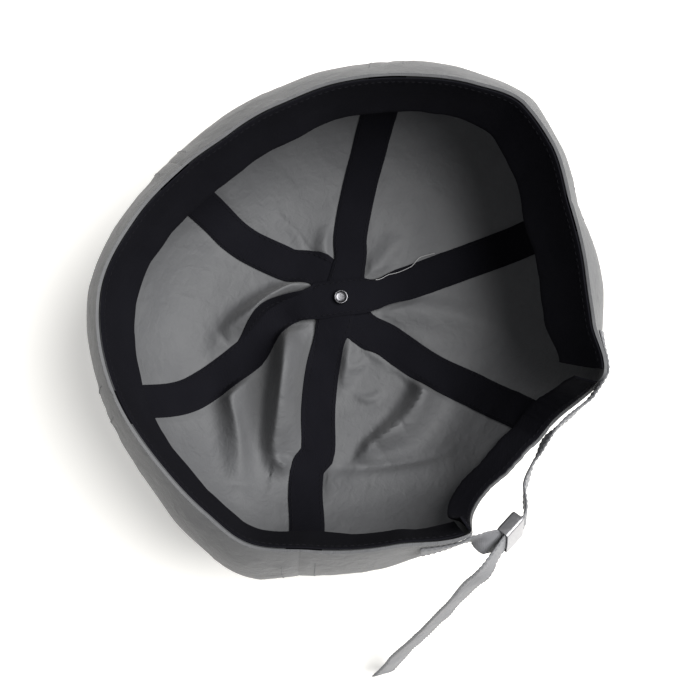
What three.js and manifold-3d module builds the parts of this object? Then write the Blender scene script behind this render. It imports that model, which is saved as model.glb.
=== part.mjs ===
// A brimless six-panel cap with a buckled strap across its back opening, in millimetres, +Z up.
// It lies on its crown with the head opening up. The origin is on the surface under the crown's
// button. The front is -Y, and because the cap is upside down the wearer's right is +X.
// Directions are degrees round the button, from the front towards the wearer's right.
// A reach is a distance from the button, measured along the cloth.

import * as THREE from 'three';
import { mergeVertices } from 'three/addons/utils/BufferGeometryUtils.js';
import Module from 'manifold-3d';

// Cloth and its layers
const cloth = 1.2;
const tapeThickness = 1.0;
const tapeWidth = 15;
const layerGap = 0.7;
const seamGap = 0.55;

// The crown as it lies: a flat floor round the raised button, and a wall that rises from it
const floorHeight = cloth;
const buttonLift = 4.4;
const buttonLiftRadius = 28;
const crownHole = 4;
const wallRoundAtFloor = 0.55;
const wallRoundAtBelly = 0.5;

// The sweatband hangs from the rim and its free edge leans inwards
const bandDrop = 29;
const bandThickness = 1.2;
const bandBelowRim = 1;

// The arched opening at the back is cut between two corners of the rim
const leftCorner = new THREE.Vector2(-22.7, 105.3);
const rightCorner = new THREE.Vector2(55, 96.7);
const archDepth = 46;
const archSquareness = { left: 2.4, right: 15 };
const bindingFromHem = 0.6;
const bandStopFromCorner = 3;

// The strap and the metal sleeve that clamps it
const strapWidth = 12;
const strapThickness = 1;
const strapStep = 2.1;
const tabHeight = 86;
const sleeveLength = 10;
const sleeveWall = 0.7;
const sleeveClearance = 0.4;

// One row for each direction round the rim. rim: the rim's radius. top: its height. belly: how far
// the wall stands out beyond the rim at its widest. bellyHeight: how high that is. lean: how much
// it still leans outwards there. foot: the radius where the wall leaves the floor. band: how far
// the sweatband's free edge leans in.
const sections = [
  { at: 0, rim: 71.7, top: 96, belly: 11.2, bellyHeight: 62, lean: 0, foot: 44, band: 8.7 },
  { at: 20, rim: 80.8, top: 95.5, belly: 9.8, bellyHeight: 62, lean: 0, foot: 49, band: 8.7 },
  { at: 40, rim: 92, top: 95, belly: 8, bellyHeight: 62, lean: 0, foot: 56, band: 8.7 },
  { at: 60, rim: 96.9, top: 94.5, belly: 7.8, bellyHeight: 61, lean: 0, foot: 60, band: 7.3 },
  { at: 80, rim: 100.1, top: 94, belly: 9.8, bellyHeight: 60, lean: 0, foot: 66, band: 4.6 },
  { at: 95, rim: 105, top: 93.5, belly: 12.4, bellyHeight: 58, lean: 0, foot: 71, band: 4.2 },
  { at: 106, rim: 109.4, top: 93.5, belly: 13, bellyHeight: 57, lean: 0, foot: 74, band: 4.2 },
  { at: 118, rim: 106.6, top: 94, belly: 10.2, bellyHeight: 57, lean: 0, foot: 73, band: 5.5 },
  { at: 135, rim: 106.2, top: 94.5, belly: 7.6, bellyHeight: 58, lean: 0, foot: 70, band: 3.2 },
  { at: 150.3, rim: 111.2, top: 95, belly: 0.5, bellyHeight: 66, lean: 6, foot: 66, band: 4 },
  { at: 166, rim: 104, top: 95, belly: -1.6, bellyHeight: 50, lean: 20, foot: 56, band: 8 },
  { at: 180, rim: 103, top: 95, belly: -1.2, bellyHeight: 50, lean: 20, foot: 51, band: 12 },
  { at: 192.1, rim: 107.7, top: 95, belly: 0, bellyHeight: 66, lean: 8, foot: 53, band: 13 },
  { at: 202, rim: 98.4, top: 95, belly: 6.6, bellyHeight: 61, lean: 0, foot: 56, band: 14 },
  { at: 213, rim: 93.9, top: 95, belly: 9.1, bellyHeight: 62, lean: 0, foot: 57, band: 12.6 },
  { at: 230, rim: 91.8, top: 95, belly: 6.7, bellyHeight: 62, lean: 0, foot: 57, band: 13 },
  { at: 245, rim: 95, top: 95, belly: 6.3, bellyHeight: 62, lean: 0, foot: 59, band: 12.4 },
  { at: 256, rim: 95.6, top: 95.5, belly: 9, bellyHeight: 62, lean: 0, foot: 58, band: 10.2 },
  { at: 268, rim: 89, top: 96, belly: 11.2, bellyHeight: 63, lean: 0, foot: 54, band: 6.8 },
  { at: 285, rim: 79.6, top: 96.5, belly: 12.1, bellyHeight: 64, lean: 0, foot: 48, band: 6.1 },
  { at: 305, rim: 72.4, top: 97, belly: 11.2, bellyHeight: 64, lean: 0, foot: 44, band: 6.3 },
  { at: 325, rim: 68, top: 97, belly: 11.2, bellyHeight: 64, lean: 0, foot: 42, band: 7.8 },
  { at: 342, rim: 67.6, top: 96.5, belly: 11.7, bellyHeight: 63, lean: 0, foot: 42, band: 7.5 },
];

// One row for each seam: its direction at the rim, and at these reaches from the button, where
// the slack cloth pulls it sideways.
const seamReaches = { hub: 12, near: 28, middle: 48, fold: 69, wall: 75, rim: 110 };
const seams = {
  front: { hub: -22, near: 1, middle: 4, fold: 1.4, wall: 1, rim: 0.5 },
  right_front: { hub: 42, near: 48, middle: 65, fold: 67, wall: 67, rim: 63 },
  right_back: { hub: 108, near: 109, middle: 112, fold: 115.4, wall: 112.9, rim: 116 },
  back: { hub: 158, near: 172, middle: 175, fold: 178.6, wall: 179, rim: 179.5 },
  left_back: { hub: 222, near: 227, middle: 230, fold: 231, wall: 231, rim: 231 },
  left_front: { hub: 288, near: 296, middle: 295, fold: 293.3, wall: 293, rim: 291.5 },
};

// One row for each deep fold of the slack crown. Its line runs from one point of the cloth to
// another, each a direction and a reach, and stands up from the floor by its lift.
const folds = [
  { name: 'roll under the right front seam', from: [40, 14], to: [64, 52], width: 9, lift: 5 },
  { name: 'long ridge of the right side', from: [78, 22], to: [101, 74], width: 8, lift: 5 },
  { name: 'short ridge of the right side', from: [69, 52], to: [95, 90], width: 8, lift: 4 },
  { name: 'hook beside the back seam', from: [158, 38], to: [140, 66], width: 8, lift: 3 },
  { name: 'slouch over the foot', from: [118, 78], to: [156, 82], width: 8, lift: 3 },
];

// The sleeve's middle, the way the straps go through it, and the way their width faces in it
const sleeveCentre = [45.95, 111.3, 80];
const sleeveThrough = [0.925, -0.169, 0.339];
const sleeveAcross = [0.378, 0.315, -0.87];
const sleeveHold = 6.5;
const sleeveGrip = 1.5;

// One row for each point of the long strap between its sewn tab and the sleeve. across: the way
// its width faces, from its upper edge to its lower one.
const strapToSleeve = [
  { at: [-15.5, 107.2, 85.5], across: [0, 0, -1] },
  { at: [-8.5, 105.6, 84.5], across: [0, 0.1, -1] },
  { at: [-2, 104, 83], across: [0.1, 0.15, -1] },
  { at: [9, 102.2, 80], across: [0.15, -0.1, -0.95] },
  { at: [18, 102.8, 77.4], across: [0.2, 0.1, -0.95] },
  { at: [27.5, 105.6, 75.2], across: [0.25, 0.25, -0.9] },
];

// One row for each point of its loose end, which goes down to the surface beside the cap
const looseEnd = [
  { at: [59.6, 110, 83], across: [0.3, 0.35, -0.9] },
  { at: [65.4, 110.3, 80], across: [0.05, 0.45, -0.85] },
  { at: [72, 109.3, 73.3], across: [-0.2, 0.5, -0.8] },
  { at: [84, 108.6, 58.5], across: [-0.4, 0.45, -0.8] },
  { at: [98.6, 107.3, 39], across: [-0.4, 0.5, -0.8] },
  { at: [112.7, 105.7, 21], across: [-0.4, 0.5, -0.8] },
  { at: [123.5, 105, 7.6], across: [-0.35, 0.5, -0.8] },
];

// One row for each point of the short strap, from its sewn tab to the sleeve's rear slot
const shortStrapRoute = [
  { at: [56.4, 99.6, 85.7], across: [0, 0, -1] },
  { at: [55.8, 102.2, 85.2], across: [0.1, 0.1, -1] },
  { at: [56, 104.6, 84.6], across: [0.378, 0.315, -0.87] },
];

const radians = THREE.MathUtils.degToRad;
const clamp = THREE.MathUtils.clamp;

// A smooth curve through a table's column: cubic pieces whose slopes come from their neighbours
function curveThrough(places, values, at, turn = 0) {
  const n = places.length;
  const place = (k) => places[((k % n) + n) % n] + turn * Math.floor(k / n);
  const value = (k) => values[((k % n) + n) % n];
  let k = 0;
  if (turn) {
    at = ((at % turn) + turn) % turn;
    while (k < n - 1 && at >= places[k + 1]) k += 1;
  } else {
    at = clamp(at, places[0], places[n - 1]);
    while (k < n - 2 && at >= places[k + 1]) k += 1;
  }
  const slope = (i) => {
    if (!turn && (i <= 0 || i >= n - 1)) return 0;
    const before = (value(i) - value(i - 1)) / (place(i) - place(i - 1));
    const after = (value(i + 1) - value(i)) / (place(i + 1) - place(i));
    return before * after <= 0 ? 0 : (2 * before * after) / (before + after);
  };
  const width = place(k + 1) - place(k);
  const t = (at - place(k)) / width;
  const rise = value(k + 1) - value(k);
  const a = slope(k) * width;
  const b = slope(k + 1) * width;
  return value(k) + t * (a + t * (3 * rise - 2 * a - b + t * (a + b - 2 * rise)));
}

function sectionAt(azimuth) {
  const places = sections.map((row) => row.at);
  const column = (name) => curveThrough(places, sections.map((row) => row[name]), azimuth, 360);
  return {
    rim: column('rim'),
    top: column('top'),
    belly: column('belly'),
    bellyHeight: column('bellyHeight'),
    lean: column('lean'),
    foot: column('foot'),
    band: column('band'),
  };
}

function seamDirection(seam, reach) {
  const names = Object.keys(seamReaches);
  const places = names.map((name) => seamReaches[name]);
  return curveThrough(places, names.map((name) => seams[seam][name]), reach);
}

function directionOf(x, y) {
  return (THREE.MathUtils.radToDeg(Math.atan2(x, -y)) + 360) % 360;
}

function plan(azimuth, radius) {
  return new THREE.Vector2(Math.sin(radians(azimuth)) * radius, -Math.cos(radians(azimuth)) * radius);
}

// The arch: the straight line between the corners, the hem's height along it and its inward lean
const archLeft = directionOf(leftCorner.x, leftCorner.y);
const archRight = directionOf(rightCorner.x, rightCorner.y);

function archShare(azimuth) {
  const ray = plan(azimuth, 1);
  const chord = rightCorner.clone().sub(leftCorner);
  return (leftCorner.y * ray.x - leftCorner.x * ray.y) / (chord.x * ray.y - chord.y * ray.x);
}

function hemHeight(azimuth) {
  const top = sectionAt(azimuth).top;
  if (azimuth <= archRight || azimuth >= archLeft) return top;
  const share = clamp(archShare(azimuth), 0, 1);
  const power = share > 0.5 ? archSquareness.right : archSquareness.left;
  return top - archDepth * (1 - Math.abs(2 * share - 1) ** power);
}

// The inner face's outline in one direction, as radius and height from the button to the rim
function profile(azimuth) {
  const s = sectionAt(azimuth);
  const bellyRadius = s.rim + s.belly;
  const points = [];
  const floorSteps = 28;
  for (let i = 0; i <= floorSteps; i += 1) {
    const radius = (s.foot * i) / floorSteps;
    const lift = 1 - THREE.MathUtils.smoothstep(radius, 0, buttonLiftRadius);
    points.push([radius, floorHeight + buttonLift * lift]);
  }
  const wallSteps = 30;
  const floorHandle = s.foot + wallRoundAtFloor * (bellyRadius - s.foot);
  const bellyHandle = s.bellyHeight - wallRoundAtBelly * (s.bellyHeight - floorHeight);
  for (let i = 1; i <= wallSteps; i += 1) {
    const t = i / wallSteps;
    const a = (1 - t) ** 3;
    const b = 3 * t * (1 - t) ** 2;
    const c = 3 * t * t * (1 - t);
    const d = t ** 3;
    points.push([
      a * s.foot + b * floorHandle + c * (bellyRadius - s.lean) + d * bellyRadius,
      a * floorHeight + b * floorHeight + c * bellyHandle + d * s.bellyHeight,
    ]);
  }
  const rimSteps = 20;
  for (let i = 1; i <= rimSteps; i += 1) {
    const t = i / rimSteps;
    points.push([bellyRadius - s.belly * t * t, s.bellyHeight + (s.top - s.bellyHeight) * t]);
  }
  return points;
}

const profileCache = new Map();

// The outline with the length walked along it, and the length at which it meets the hem
function walkedProfile(azimuth) {
  const key = Math.round((((azimuth % 360) + 360) % 360) * 1000) / 1000;
  if (profileCache.has(key)) return profileCache.get(key);
  const points = profile(key);
  const walked = [0];
  for (let i = 1; i < points.length; i += 1) {
    const step = Math.hypot(points[i][0] - points[i - 1][0], points[i][1] - points[i - 1][1]);
    walked.push(walked[i - 1] + step);
  }
  const height = hemHeight(key);
  let last = points.length - 1;
  while (points[last - 1][1] > height) last -= 1;
  const [below, above] = [points[last - 1][1], points[last][1]];
  const share = clamp((height - below) / (above - below), 0, 1);
  const hem = walked[last - 1] + share * (walked[last] - walked[last - 1]);
  const result = { points, walked, hem };
  profileCache.set(key, result);
  return result;
}

function hemReach(azimuth) {
  return walkedProfile(azimuth).hem;
}

// A point of the inner face before the folds
function smoothCloth(azimuth, reach) {
  const { points, walked } = walkedProfile(azimuth);
  const r = clamp(reach, 0, walked[walked.length - 1]);
  let i = 1;
  while (i < walked.length - 1 && walked[i] < r) i += 1;
  const t = (r - walked[i - 1]) / (walked[i] - walked[i - 1]);
  const radius = points[i - 1][0] + t * (points[i][0] - points[i - 1][0]);
  const height = points[i - 1][1] + t * (points[i][1] - points[i - 1][1]);
  const p = plan(azimuth, radius);
  return new THREE.Vector3(p.x, p.y, height);
}

function normalOf(surface, azimuth, reach) {
  const turn = 0.6;
  const step = 0.6;
  const along = surface(azimuth, reach + step).sub(surface(azimuth, reach - step));
  const round = surface(azimuth + turn, reach).sub(surface(azimuth - turn, reach));
  return along.cross(round).normalize();
}

const foldLines = folds.map((fold) => ({
  ...fold,
  line: new THREE.Line3(smoothCloth(...fold.from), smoothCloth(...fold.to)),
}));

// The inner face with its folds: each stands up from the cloth with a bell-shaped section that
// dies away at the fold's two ends
function clothPoint(azimuth, reach) {
  const point = smoothCloth(azimuth, reach);
  let lift = 0;
  for (const fold of foldLines) {
    const along = fold.line.closestPointToPointParameter(point, true);
    const nearest = fold.line.at(along, new THREE.Vector3());
    const away = nearest.distanceTo(point) / fold.width;
    lift += fold.lift * Math.sin(Math.PI * clamp(along, 0.04, 0.96)) ** 0.5 * Math.exp(-away * away);
  }
  if (lift < 0.01) return point;
  return point.addScaledVector(normalOf(smoothCloth, azimuth, reach), lift);
}

// A point at a height above the inner face, or below it where the height is negative
function overCloth(azimuth, reach, height) {
  return clothPoint(azimuth, reach).addScaledVector(normalOf(clothPoint, azimuth, reach), height);
}

// A closed wall between two grids of points of one size: front and back faces and four edges
function wall(front, back) {
  const rows = front.length;
  const columns = front[0].length;
  const positions = [...front.flat(), ...back.flat()].flatMap((p) => [p.x, p.y, p.z]);
  const index = [];
  const frontAt = (i, j) => i * columns + j;
  const backAt = (i, j) => rows * columns + i * columns + j;
  const quad = (a, b, c, d) => index.push(a, b, c, a, c, d);
  for (let i = 0; i < rows - 1; i += 1) {
    for (let j = 0; j < columns - 1; j += 1) {
      quad(frontAt(i, j), frontAt(i, j + 1), frontAt(i + 1, j + 1), frontAt(i + 1, j));
      quad(backAt(i, j), backAt(i + 1, j), backAt(i + 1, j + 1), backAt(i, j + 1));
    }
  }
  for (let j = 0; j < columns - 1; j += 1) {
    quad(frontAt(0, j + 1), frontAt(0, j), backAt(0, j), backAt(0, j + 1));
    const r = rows - 1;
    quad(frontAt(r, j), frontAt(r, j + 1), backAt(r, j + 1), backAt(r, j));
  }
  for (let i = 0; i < rows - 1; i += 1) {
    quad(frontAt(i, 0), frontAt(i + 1, 0), backAt(i + 1, 0), backAt(i, 0));
    const c = columns - 1;
    quad(frontAt(i + 1, c), frontAt(i, c), backAt(i, c), backAt(i + 1, c));
  }
  const geometry = new THREE.BufferGeometry();
  geometry.setAttribute('position', new THREE.Float32BufferAttribute(positions, 3));
  geometry.setIndex(index);
  return facingOut(geometry);
}

// Turns a closed geometry's faces round when its signed volume is negative
function facingOut(geometry) {
  const p = geometry.attributes.position;
  const index = geometry.index.array;
  const [a, b, c] = [new THREE.Vector3(), new THREE.Vector3(), new THREE.Vector3()];
  let volume = 0;
  for (let i = 0; i < index.length; i += 3) {
    a.fromBufferAttribute(p, index[i]);
    b.fromBufferAttribute(p, index[i + 1]);
    c.fromBufferAttribute(p, index[i + 2]);
    volume += a.dot(b.cross(c));
  }
  if (volume < 0) {
    for (let i = 0; i < index.length; i += 3) {
      [index[i + 1], index[i + 2]] = [index[i + 2], index[i + 1]];
    }
  }
  geometry.computeVertexNormals();
  return geometry;
}

const steps = (count) => Array.from({ length: count + 1 }, (_, i) => i / count);

// Panels: each fills the space between two seams, from the hole at the crown's point to the hem
const panelRows = 16;
const rowCrowding = 1.1;
const panelColumns = 9;
const archColumns = 7;
const besideArchColumns = 7;
const cornerCrowding = 1.5;
const panels = [
  { name: 'panel_front_right', from: 'front', to: 'right_front' },
  { name: 'panel_side_right', from: 'right_front', to: 'right_back' },
  { name: 'panel_back_right', from: 'right_back', to: 'back', corner: archRight },
  { name: 'panel_back_left', from: 'back', to: 'left_back', corner: archLeft },
  { name: 'panel_side_left', from: 'left_back', to: 'left_front' },
  { name: 'panel_front_left', from: 'left_front', to: 'front' },
];

// The shares of a panel's width at which its columns stand, with one column at an arch corner
function columnShares({ from, to, corner }) {
  if (corner === undefined) return steps(panelColumns);
  const first = seams[from].rim;
  const share = (corner - first) / (seams[to].rim - first);
  const before = from === 'back' ? archColumns - 1 : besideArchColumns - 1;
  const after = from === 'back' ? besideArchColumns : archColumns;
  const left = steps(before).map((t) => t * share);
  const crowding = corner === archRight ? cornerCrowding : 1;
  const right = steps(after).map((t) => share + t ** crowding * (1 - share));
  return [...left, ...right.slice(1)];
}

function panelDirection(panel, share, reach) {
  const first = seamDirection(panel.from, reach);
  let last = seamDirection(panel.to, reach);
  if (last < first) last += 360;
  const edge = smoothCloth(first, reach);
  const gap = THREE.MathUtils.radToDeg(seamGap / 2 / Math.hypot(edge.x, edge.y));
  return first + gap + share * (last - first - 2 * gap);
}

// How far from the button a row of points lies, for its share of the way to the hem
function rowReach(share, hem) {
  return crownHole + share ** rowCrowding * (hem - crownHole);
}

function panelGeometry(panel) {
  const shares = columnShares(panel);
  const grid = (height) => steps(panelRows).map((t) => shares.map((share) => {
    const hem = hemReach(panelDirection(panel, share, seamReaches.rim));
    const reach = rowReach(t, hem);
    return overCloth(panelDirection(panel, share, reach), reach, height);
  }));
  return wall(grid(0), grid(-cloth));
}

// Tapes: each runs down one seam, over the button and up the opposite seam. Where tapes cross,
// the upper ones climb over those below.
const tapeSides = [-1, -0.5, 0, 0.5, 1];
const tapeFromHem = 10;
const tapeFromArch = 12;
const tapeStartReach = 5;
const tapes = [
  { name: 'seam_tape_front_back', from: 'front', to: 'back', layer: 0 },
  { name: 'seam_tape_left_right', from: 'left_front', to: 'right_back', layer: 1 },
  { name: 'seam_tape_right_left', from: 'right_front', to: 'left_back', layer: 2 },
];
const layerRise = tapeThickness + layerGap;
const layerFlat = 19;
const layerEnd = 38;
const steepWall = 0.7;

function tapeReaches(seam) {
  const hem = hemReach(seams[seam].rim);
  const last = hem - (seam === 'back' ? tapeFromArch : tapeFromHem);
  const reaches = steps(panelRows).slice(1).map((t) => rowReach(t, hem));
  return [tapeStartReach, ...reaches.filter((reach) => reach < last - 2), last];
}

function tapeGeometry({ from, to, layer }) {
  const hub = new THREE.Vector3(0, 0, floorHeight + buttonLift);
  const side = (seam) => tapeReaches(seam).map((reach) => clothPoint(seamDirection(seam, reach), reach));
  const route = [...side(from).reverse(), hub, ...side(to)];
  const grid = (height) => route.map((point, i) => {
    const before = route[Math.max(i - 1, 0)];
    const after = route[Math.min(i + 1, route.length - 1)];
    const step = after.clone().sub(before).normalize();
    const steep = Math.abs(step.z);
    const rising = i < route.length / 2 ? -1 : 1;
    const heading = steep > steepWall ? point.clone().multiplyScalar(rising) : step;
    const sideways = new THREE.Vector3(-heading.y, heading.x, 0).normalize();
    const away = Math.hypot(point.x, point.y);
    const climb = layer * layerRise * (1 - THREE.MathUtils.smoothstep(away, layerFlat, layerEnd));
    return tapeSides.map((s) => {
      const q = point.clone().addScaledVector(sideways, (s * tapeWidth) / 2);
      const direction = directionOf(q.x, q.y);
      const outwardShift = (Math.hypot(q.x, q.y) - away) * (1 - steep);
      const reach = reachAt(point) + outwardShift;
      return overCloth(direction, Math.max(reach, 0.7), layerGap + climb + height);
    });
  });
  return wall(grid(tapeThickness), grid(0));
}

// The reach of a point of the cloth, found along its own direction
function reachAt(point) {
  const { points, walked } = walkedProfile(directionOf(point.x, point.y));
  const radius = Math.hypot(point.x, point.y);
  let best = 0;
  let nearest = Infinity;
  points.forEach((p, i) => {
    const away = Math.hypot(p[0] - radius, p[1] - point.z);
    if (away < nearest) {
      nearest = away;
      best = i;
    }
  });
  const i = clamp(best, 1, points.length - 2);
  const ahead = [points[i + 1][0] - points[i - 1][0], points[i + 1][1] - points[i - 1][1]];
  const span = ahead[0] ** 2 + ahead[1] ** 2;
  const offset = [radius - points[i - 1][0], point.z - points[i - 1][1]];
  const t = (offset[0] * ahead[0] + offset[1] * ahead[1]) / span;
  return walked[i - 1] + clamp(t, 0, 1) * (walked[i + 1] - walked[i - 1]);
}

// The sweatband, from one side of the arch round the front to the other
const bandRows = 3;
const bandColumns = 56;
const bandBulge = 0.12;

function bandGeometry() {
  const stop = THREE.MathUtils.radToDeg(bandStopFromCorner / leftCorner.length());
  const first = archLeft + stop;
  const last = archRight + 360 - stop;
  const grid = (inset) => steps(bandRows).map((down) => steps(bandColumns).map((t) => {
    const azimuth = first + t * (last - first);
    const s = sectionAt(azimuth);
    const bulge = bandBulge * s.band * Math.sin(Math.PI * down);
    const radius = s.rim - bandBelowRim - inset - s.band * down + bulge;
    const p = plan(azimuth, radius);
    return new THREE.Vector3(p.x, p.y, s.top - bandBelowRim - bandDrop * down);
  }));
  return wall(grid(bandThickness), grid(0));
}

// The facing of the arch: a strip sewn inside the cut hem, whose other edge stands off the cloth.
// One row for each share of the hem's length, from the left corner to the right one: how far
// that other edge lies to the right, inwards and down from the hem.
const facing = [
  { along: 0.045, right: 2, inwards: 8, down: 8 },
  { along: 0.1, right: 2.5, inwards: 9.5, down: 9.5 },
  { along: 0.3, right: 0, inwards: 9.8, down: 10.6 },
  { along: 0.44, right: 1, inwards: 9.8, down: 10.4 },
  { along: 0.57, right: 3.5, inwards: 9.4, down: 10 },
  { along: 0.65, right: 4.8, inwards: 8.4, down: 8 },
  { along: 0.72, right: 4.6, inwards: 7.4, down: 3.4 },
  { along: 0.77, right: 2.6, inwards: 7.2, down: 1.6 },
  { along: 0.82, right: 0, inwards: 7, down: 1 },
  { along: 0.9, right: -1.2, inwards: 6.8, down: 0.6 },
  { along: 0.985, right: -2.4, inwards: 6.4, down: 0.4 },
];
const facingRows = 2;
const facingColumns = 28;
const hemSamples = 400;

function facingGeometry() {
  const places = facing.map((row) => row.along);
  const [first, last] = [places[0], places[places.length - 1]];
  const column = (name, share) => curveThrough(places, facing.map((row) => row[name]), share);
  const samples = steps(hemSamples).map((share) => {
    const p = leftCorner.clone().lerp(rightCorner, share);
    const azimuth = directionOf(p.x, p.y);
    return overCloth(azimuth, hemReach(azimuth) - bindingFromHem, layerGap + tapeThickness);
  });
  const walked = [0];
  samples.slice(1).forEach((point, i) => walked.push(walked[i] + point.distanceTo(samples[i])));
  const pointAt = (share) => {
    const target = share * walked[hemSamples];
    const i = Math.max(walked.findIndex((length) => length >= target), 1);
    const within = (target - walked[i - 1]) / (walked[i] - walked[i - 1]);
    return samples[i - 1].clone().lerp(samples[i], within);
  };
  const shares = steps(facingColumns).map((t) => first + t * (last - first));
  const hem = shares.map(pointAt);
  const width = shares.map((share) => new THREE.Vector3(
    column('right', share), -column('inwards', share), -column('down', share)));
  const lineAt = (t) => hem.map((point, i) => point.clone().addScaledVector(width[i], t));
  const front = steps(facingRows).map(lineAt);
  const back = front.map((line, i) => line.map((point, j) => {
    const along = line[Math.min(j + 1, line.length - 1)].clone().sub(line[Math.max(j - 1, 0)]);
    return point.clone().addScaledVector(along.cross(width[j]).normalize(), -tapeThickness);
  }));
  return wall(front, back);
}

// A flat strap through rows of points, with its width facing the way that each row says. Both
// curves share the rows' own parameter, so the width turns where its row stands.
function strapGeometry(rows) {
  const curve = (key) => new THREE.CatmullRomCurve3(
    rows.map((row) => new THREE.Vector3(...row[key])), false, 'centripetal');
  const centre = curve('at');
  const facing = curve('across');
  const stations = steps(Math.round(centre.getLength() / strapStep));
  const frames = stations.map((t) => {
    const heading = centre.getTangent(t);
    const across = facing.getPoint(t);
    across.addScaledVector(heading, -across.dot(heading)).normalize();
    return { point: centre.getPoint(t), across, out: new THREE.Vector3().crossVectors(heading, across) };
  });
  const grid = (side) => frames.map(({ point, across, out }) => [-0.5, 0.5].map((s) => point.clone()
    .addScaledVector(across, s * strapWidth).addScaledVector(out, (side * strapThickness) / 2)));
  return closed(wall(grid(1), grid(-1)));
}

// The sewn end of a strap: it lies along the outside of the rim, towards its corner of the arch
function tabRows(directions) {
  return directions.map((azimuth) => {
    const { points } = walkedProfile(azimuth);
    const edge = (height) => {
      const radius = points[points.findIndex((p) => p[1] >= height)][0] + cloth + layerGap + strapThickness;
      const p = plan(azimuth, radius);
      return new THREE.Vector3(p.x, p.y, height);
    };
    const upper = edge(tabHeight + strapWidth / 2);
    const lower = edge(tabHeight - strapWidth / 2);
    return { at: upper.clone().lerp(lower, 0.5).toArray(), across: lower.sub(upper).normalize().toArray() };
  });
}

// The metal sleeve: a flat tube with a front slot for the long strap and a rear slot that holds
// the short one
const slotWidth = strapWidth + 2 * sleeveClearance;
const slotHeight = strapThickness + 2 * sleeveClearance;
const rearSlot = -(slotHeight + sleeveWall);
const sleeveFrame = frameOfSleeve();

function frameOfSleeve() {
  const through = new THREE.Vector3(...sleeveThrough).normalize();
  const across = new THREE.Vector3(...sleeveAcross);
  across.addScaledVector(through, -across.dot(through)).normalize();
  const out = new THREE.Vector3().crossVectors(through, across);
  return { centre: new THREE.Vector3(...sleeveCentre), through, across, out };
}

function sleeveShape() {
  const halfWidth = slotWidth / 2 + sleeveWall;
  const height = 2 * slotHeight + 3 * sleeveWall;
  const outline = new THREE.Shape();
  const corner = sleeveWall;
  outline.moveTo(-halfWidth + corner, 0);
  outline.lineTo(halfWidth - corner, 0);
  outline.absarc(halfWidth - corner, corner, corner, -Math.PI / 2, 0, false);
  outline.lineTo(halfWidth, height - corner);
  outline.absarc(halfWidth - corner, height - corner, corner, 0, Math.PI / 2, false);
  outline.lineTo(-halfWidth + corner, height);
  outline.absarc(-halfWidth + corner, height - corner, corner, Math.PI / 2, Math.PI, false);
  outline.lineTo(-halfWidth, corner);
  outline.absarc(-halfWidth + corner, corner, corner, Math.PI, 1.5 * Math.PI, false);
  for (const base of [sleeveWall, 2 * sleeveWall + slotHeight]) {
    const slot = new THREE.Path();
    slot.moveTo(-slotWidth / 2, base);
    slot.lineTo(-slotWidth / 2, base + slotHeight);
    slot.lineTo(slotWidth / 2, base + slotHeight);
    slot.lineTo(slotWidth / 2, base);
    slot.closePath();
    outline.holes.push(slot);
  }
  return { outline, frontSlot: 1.5 * slotHeight + 2 * sleeveWall };
}

function sleeveGeometry() {
  const { outline, frontSlot } = sleeveShape();
  const { centre, through, across, out } = sleeveFrame;
  const drawn = { depth: sleeveLength, bevelEnabled: false, curveSegments: 4 };
  const geometry = new THREE.ExtrudeGeometry(outline, drawn);
  geometry.translate(0, -frontSlot, -sleeveLength / 2);
  geometry.applyMatrix4(new THREE.Matrix4().makeBasis(across, out, through).setPosition(centre));
  return geometry;
}

// A row of a strap's route inside the sleeve: so far through it from its middle, in one slot
function rowInSleeve(through, slot) {
  const point = sleeveFrame.centre.clone()
    .addScaledVector(sleeveFrame.through, through)
    .addScaledVector(sleeveFrame.out, slot);
  return { at: point.toArray(), across: sleeveAcross };
}

// The button outside the crown's point, with the shank that goes up through the cloth, and the
// rivet's end that closes it inside
const buttonRadius = 7;
const buttonHeight = 3.6;
const buttonEdge = 1.6;
const shankRadius = 1.4;
const shankHole = 1.9;
const tapeStack = floorHeight + buttonLift + 3 * layerRise + layerGap;
const rivetRadius = 3.2;
const rivetHeight = 1.5;
const rivetEdge = 0.5;

function buttonGeometry() {
  const profilePoints = [new THREE.Vector2(0, 0), new THREE.Vector2(buttonRadius - buttonEdge, 0)];
  for (const t of steps(4).slice(1)) {
    const turn = (t * Math.PI) / 2;
    profilePoints.push(new THREE.Vector2(
      buttonRadius - buttonEdge + buttonEdge * Math.sin(turn), buttonEdge * (1 - Math.cos(turn))));
  }
  profilePoints.push(
    new THREE.Vector2(buttonRadius - 0.6, buttonHeight - 0.7),
    new THREE.Vector2(shankRadius + 2, buttonHeight),
    new THREE.Vector2(shankRadius, buttonHeight),
    new THREE.Vector2(shankRadius, tapeStack - seamGap),
    new THREE.Vector2(0, tapeStack - seamGap),
  );
  return new THREE.LatheGeometry(profilePoints, 24).rotateX(Math.PI / 2);
}

function rivetGeometry() {
  const profilePoints = [new THREE.Vector2(0, 0), new THREE.Vector2(rivetRadius, 0)];
  for (const t of steps(5)) {
    const turn = (t * Math.PI) / 2;
    const height = rivetEdge + (rivetHeight - rivetEdge) * Math.sin(turn);
    profilePoints.push(new THREE.Vector2(rivetRadius * Math.cos(turn), height));
  }
  return new THREE.LatheGeometry(profilePoints, 20).rotateX(Math.PI / 2).translate(0, 0, tapeStack);
}

// Solids for the cuts
const solids = await Module();
solids.setup();

function closed(geometry) {
  const bare = geometry.clone();
  bare.deleteAttribute('normal');
  bare.deleteAttribute('uv');
  return facingOut(mergeVertices(bare, 1e-4));
}

function solidOf(geometry) {
  const merged = closed(geometry);
  return new solids.Manifold(new solids.Mesh({
    numProp: 3,
    vertProperties: new Float32Array(merged.attributes.position.array),
    triVerts: new Uint32Array(merged.index.array),
  }));
}

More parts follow.
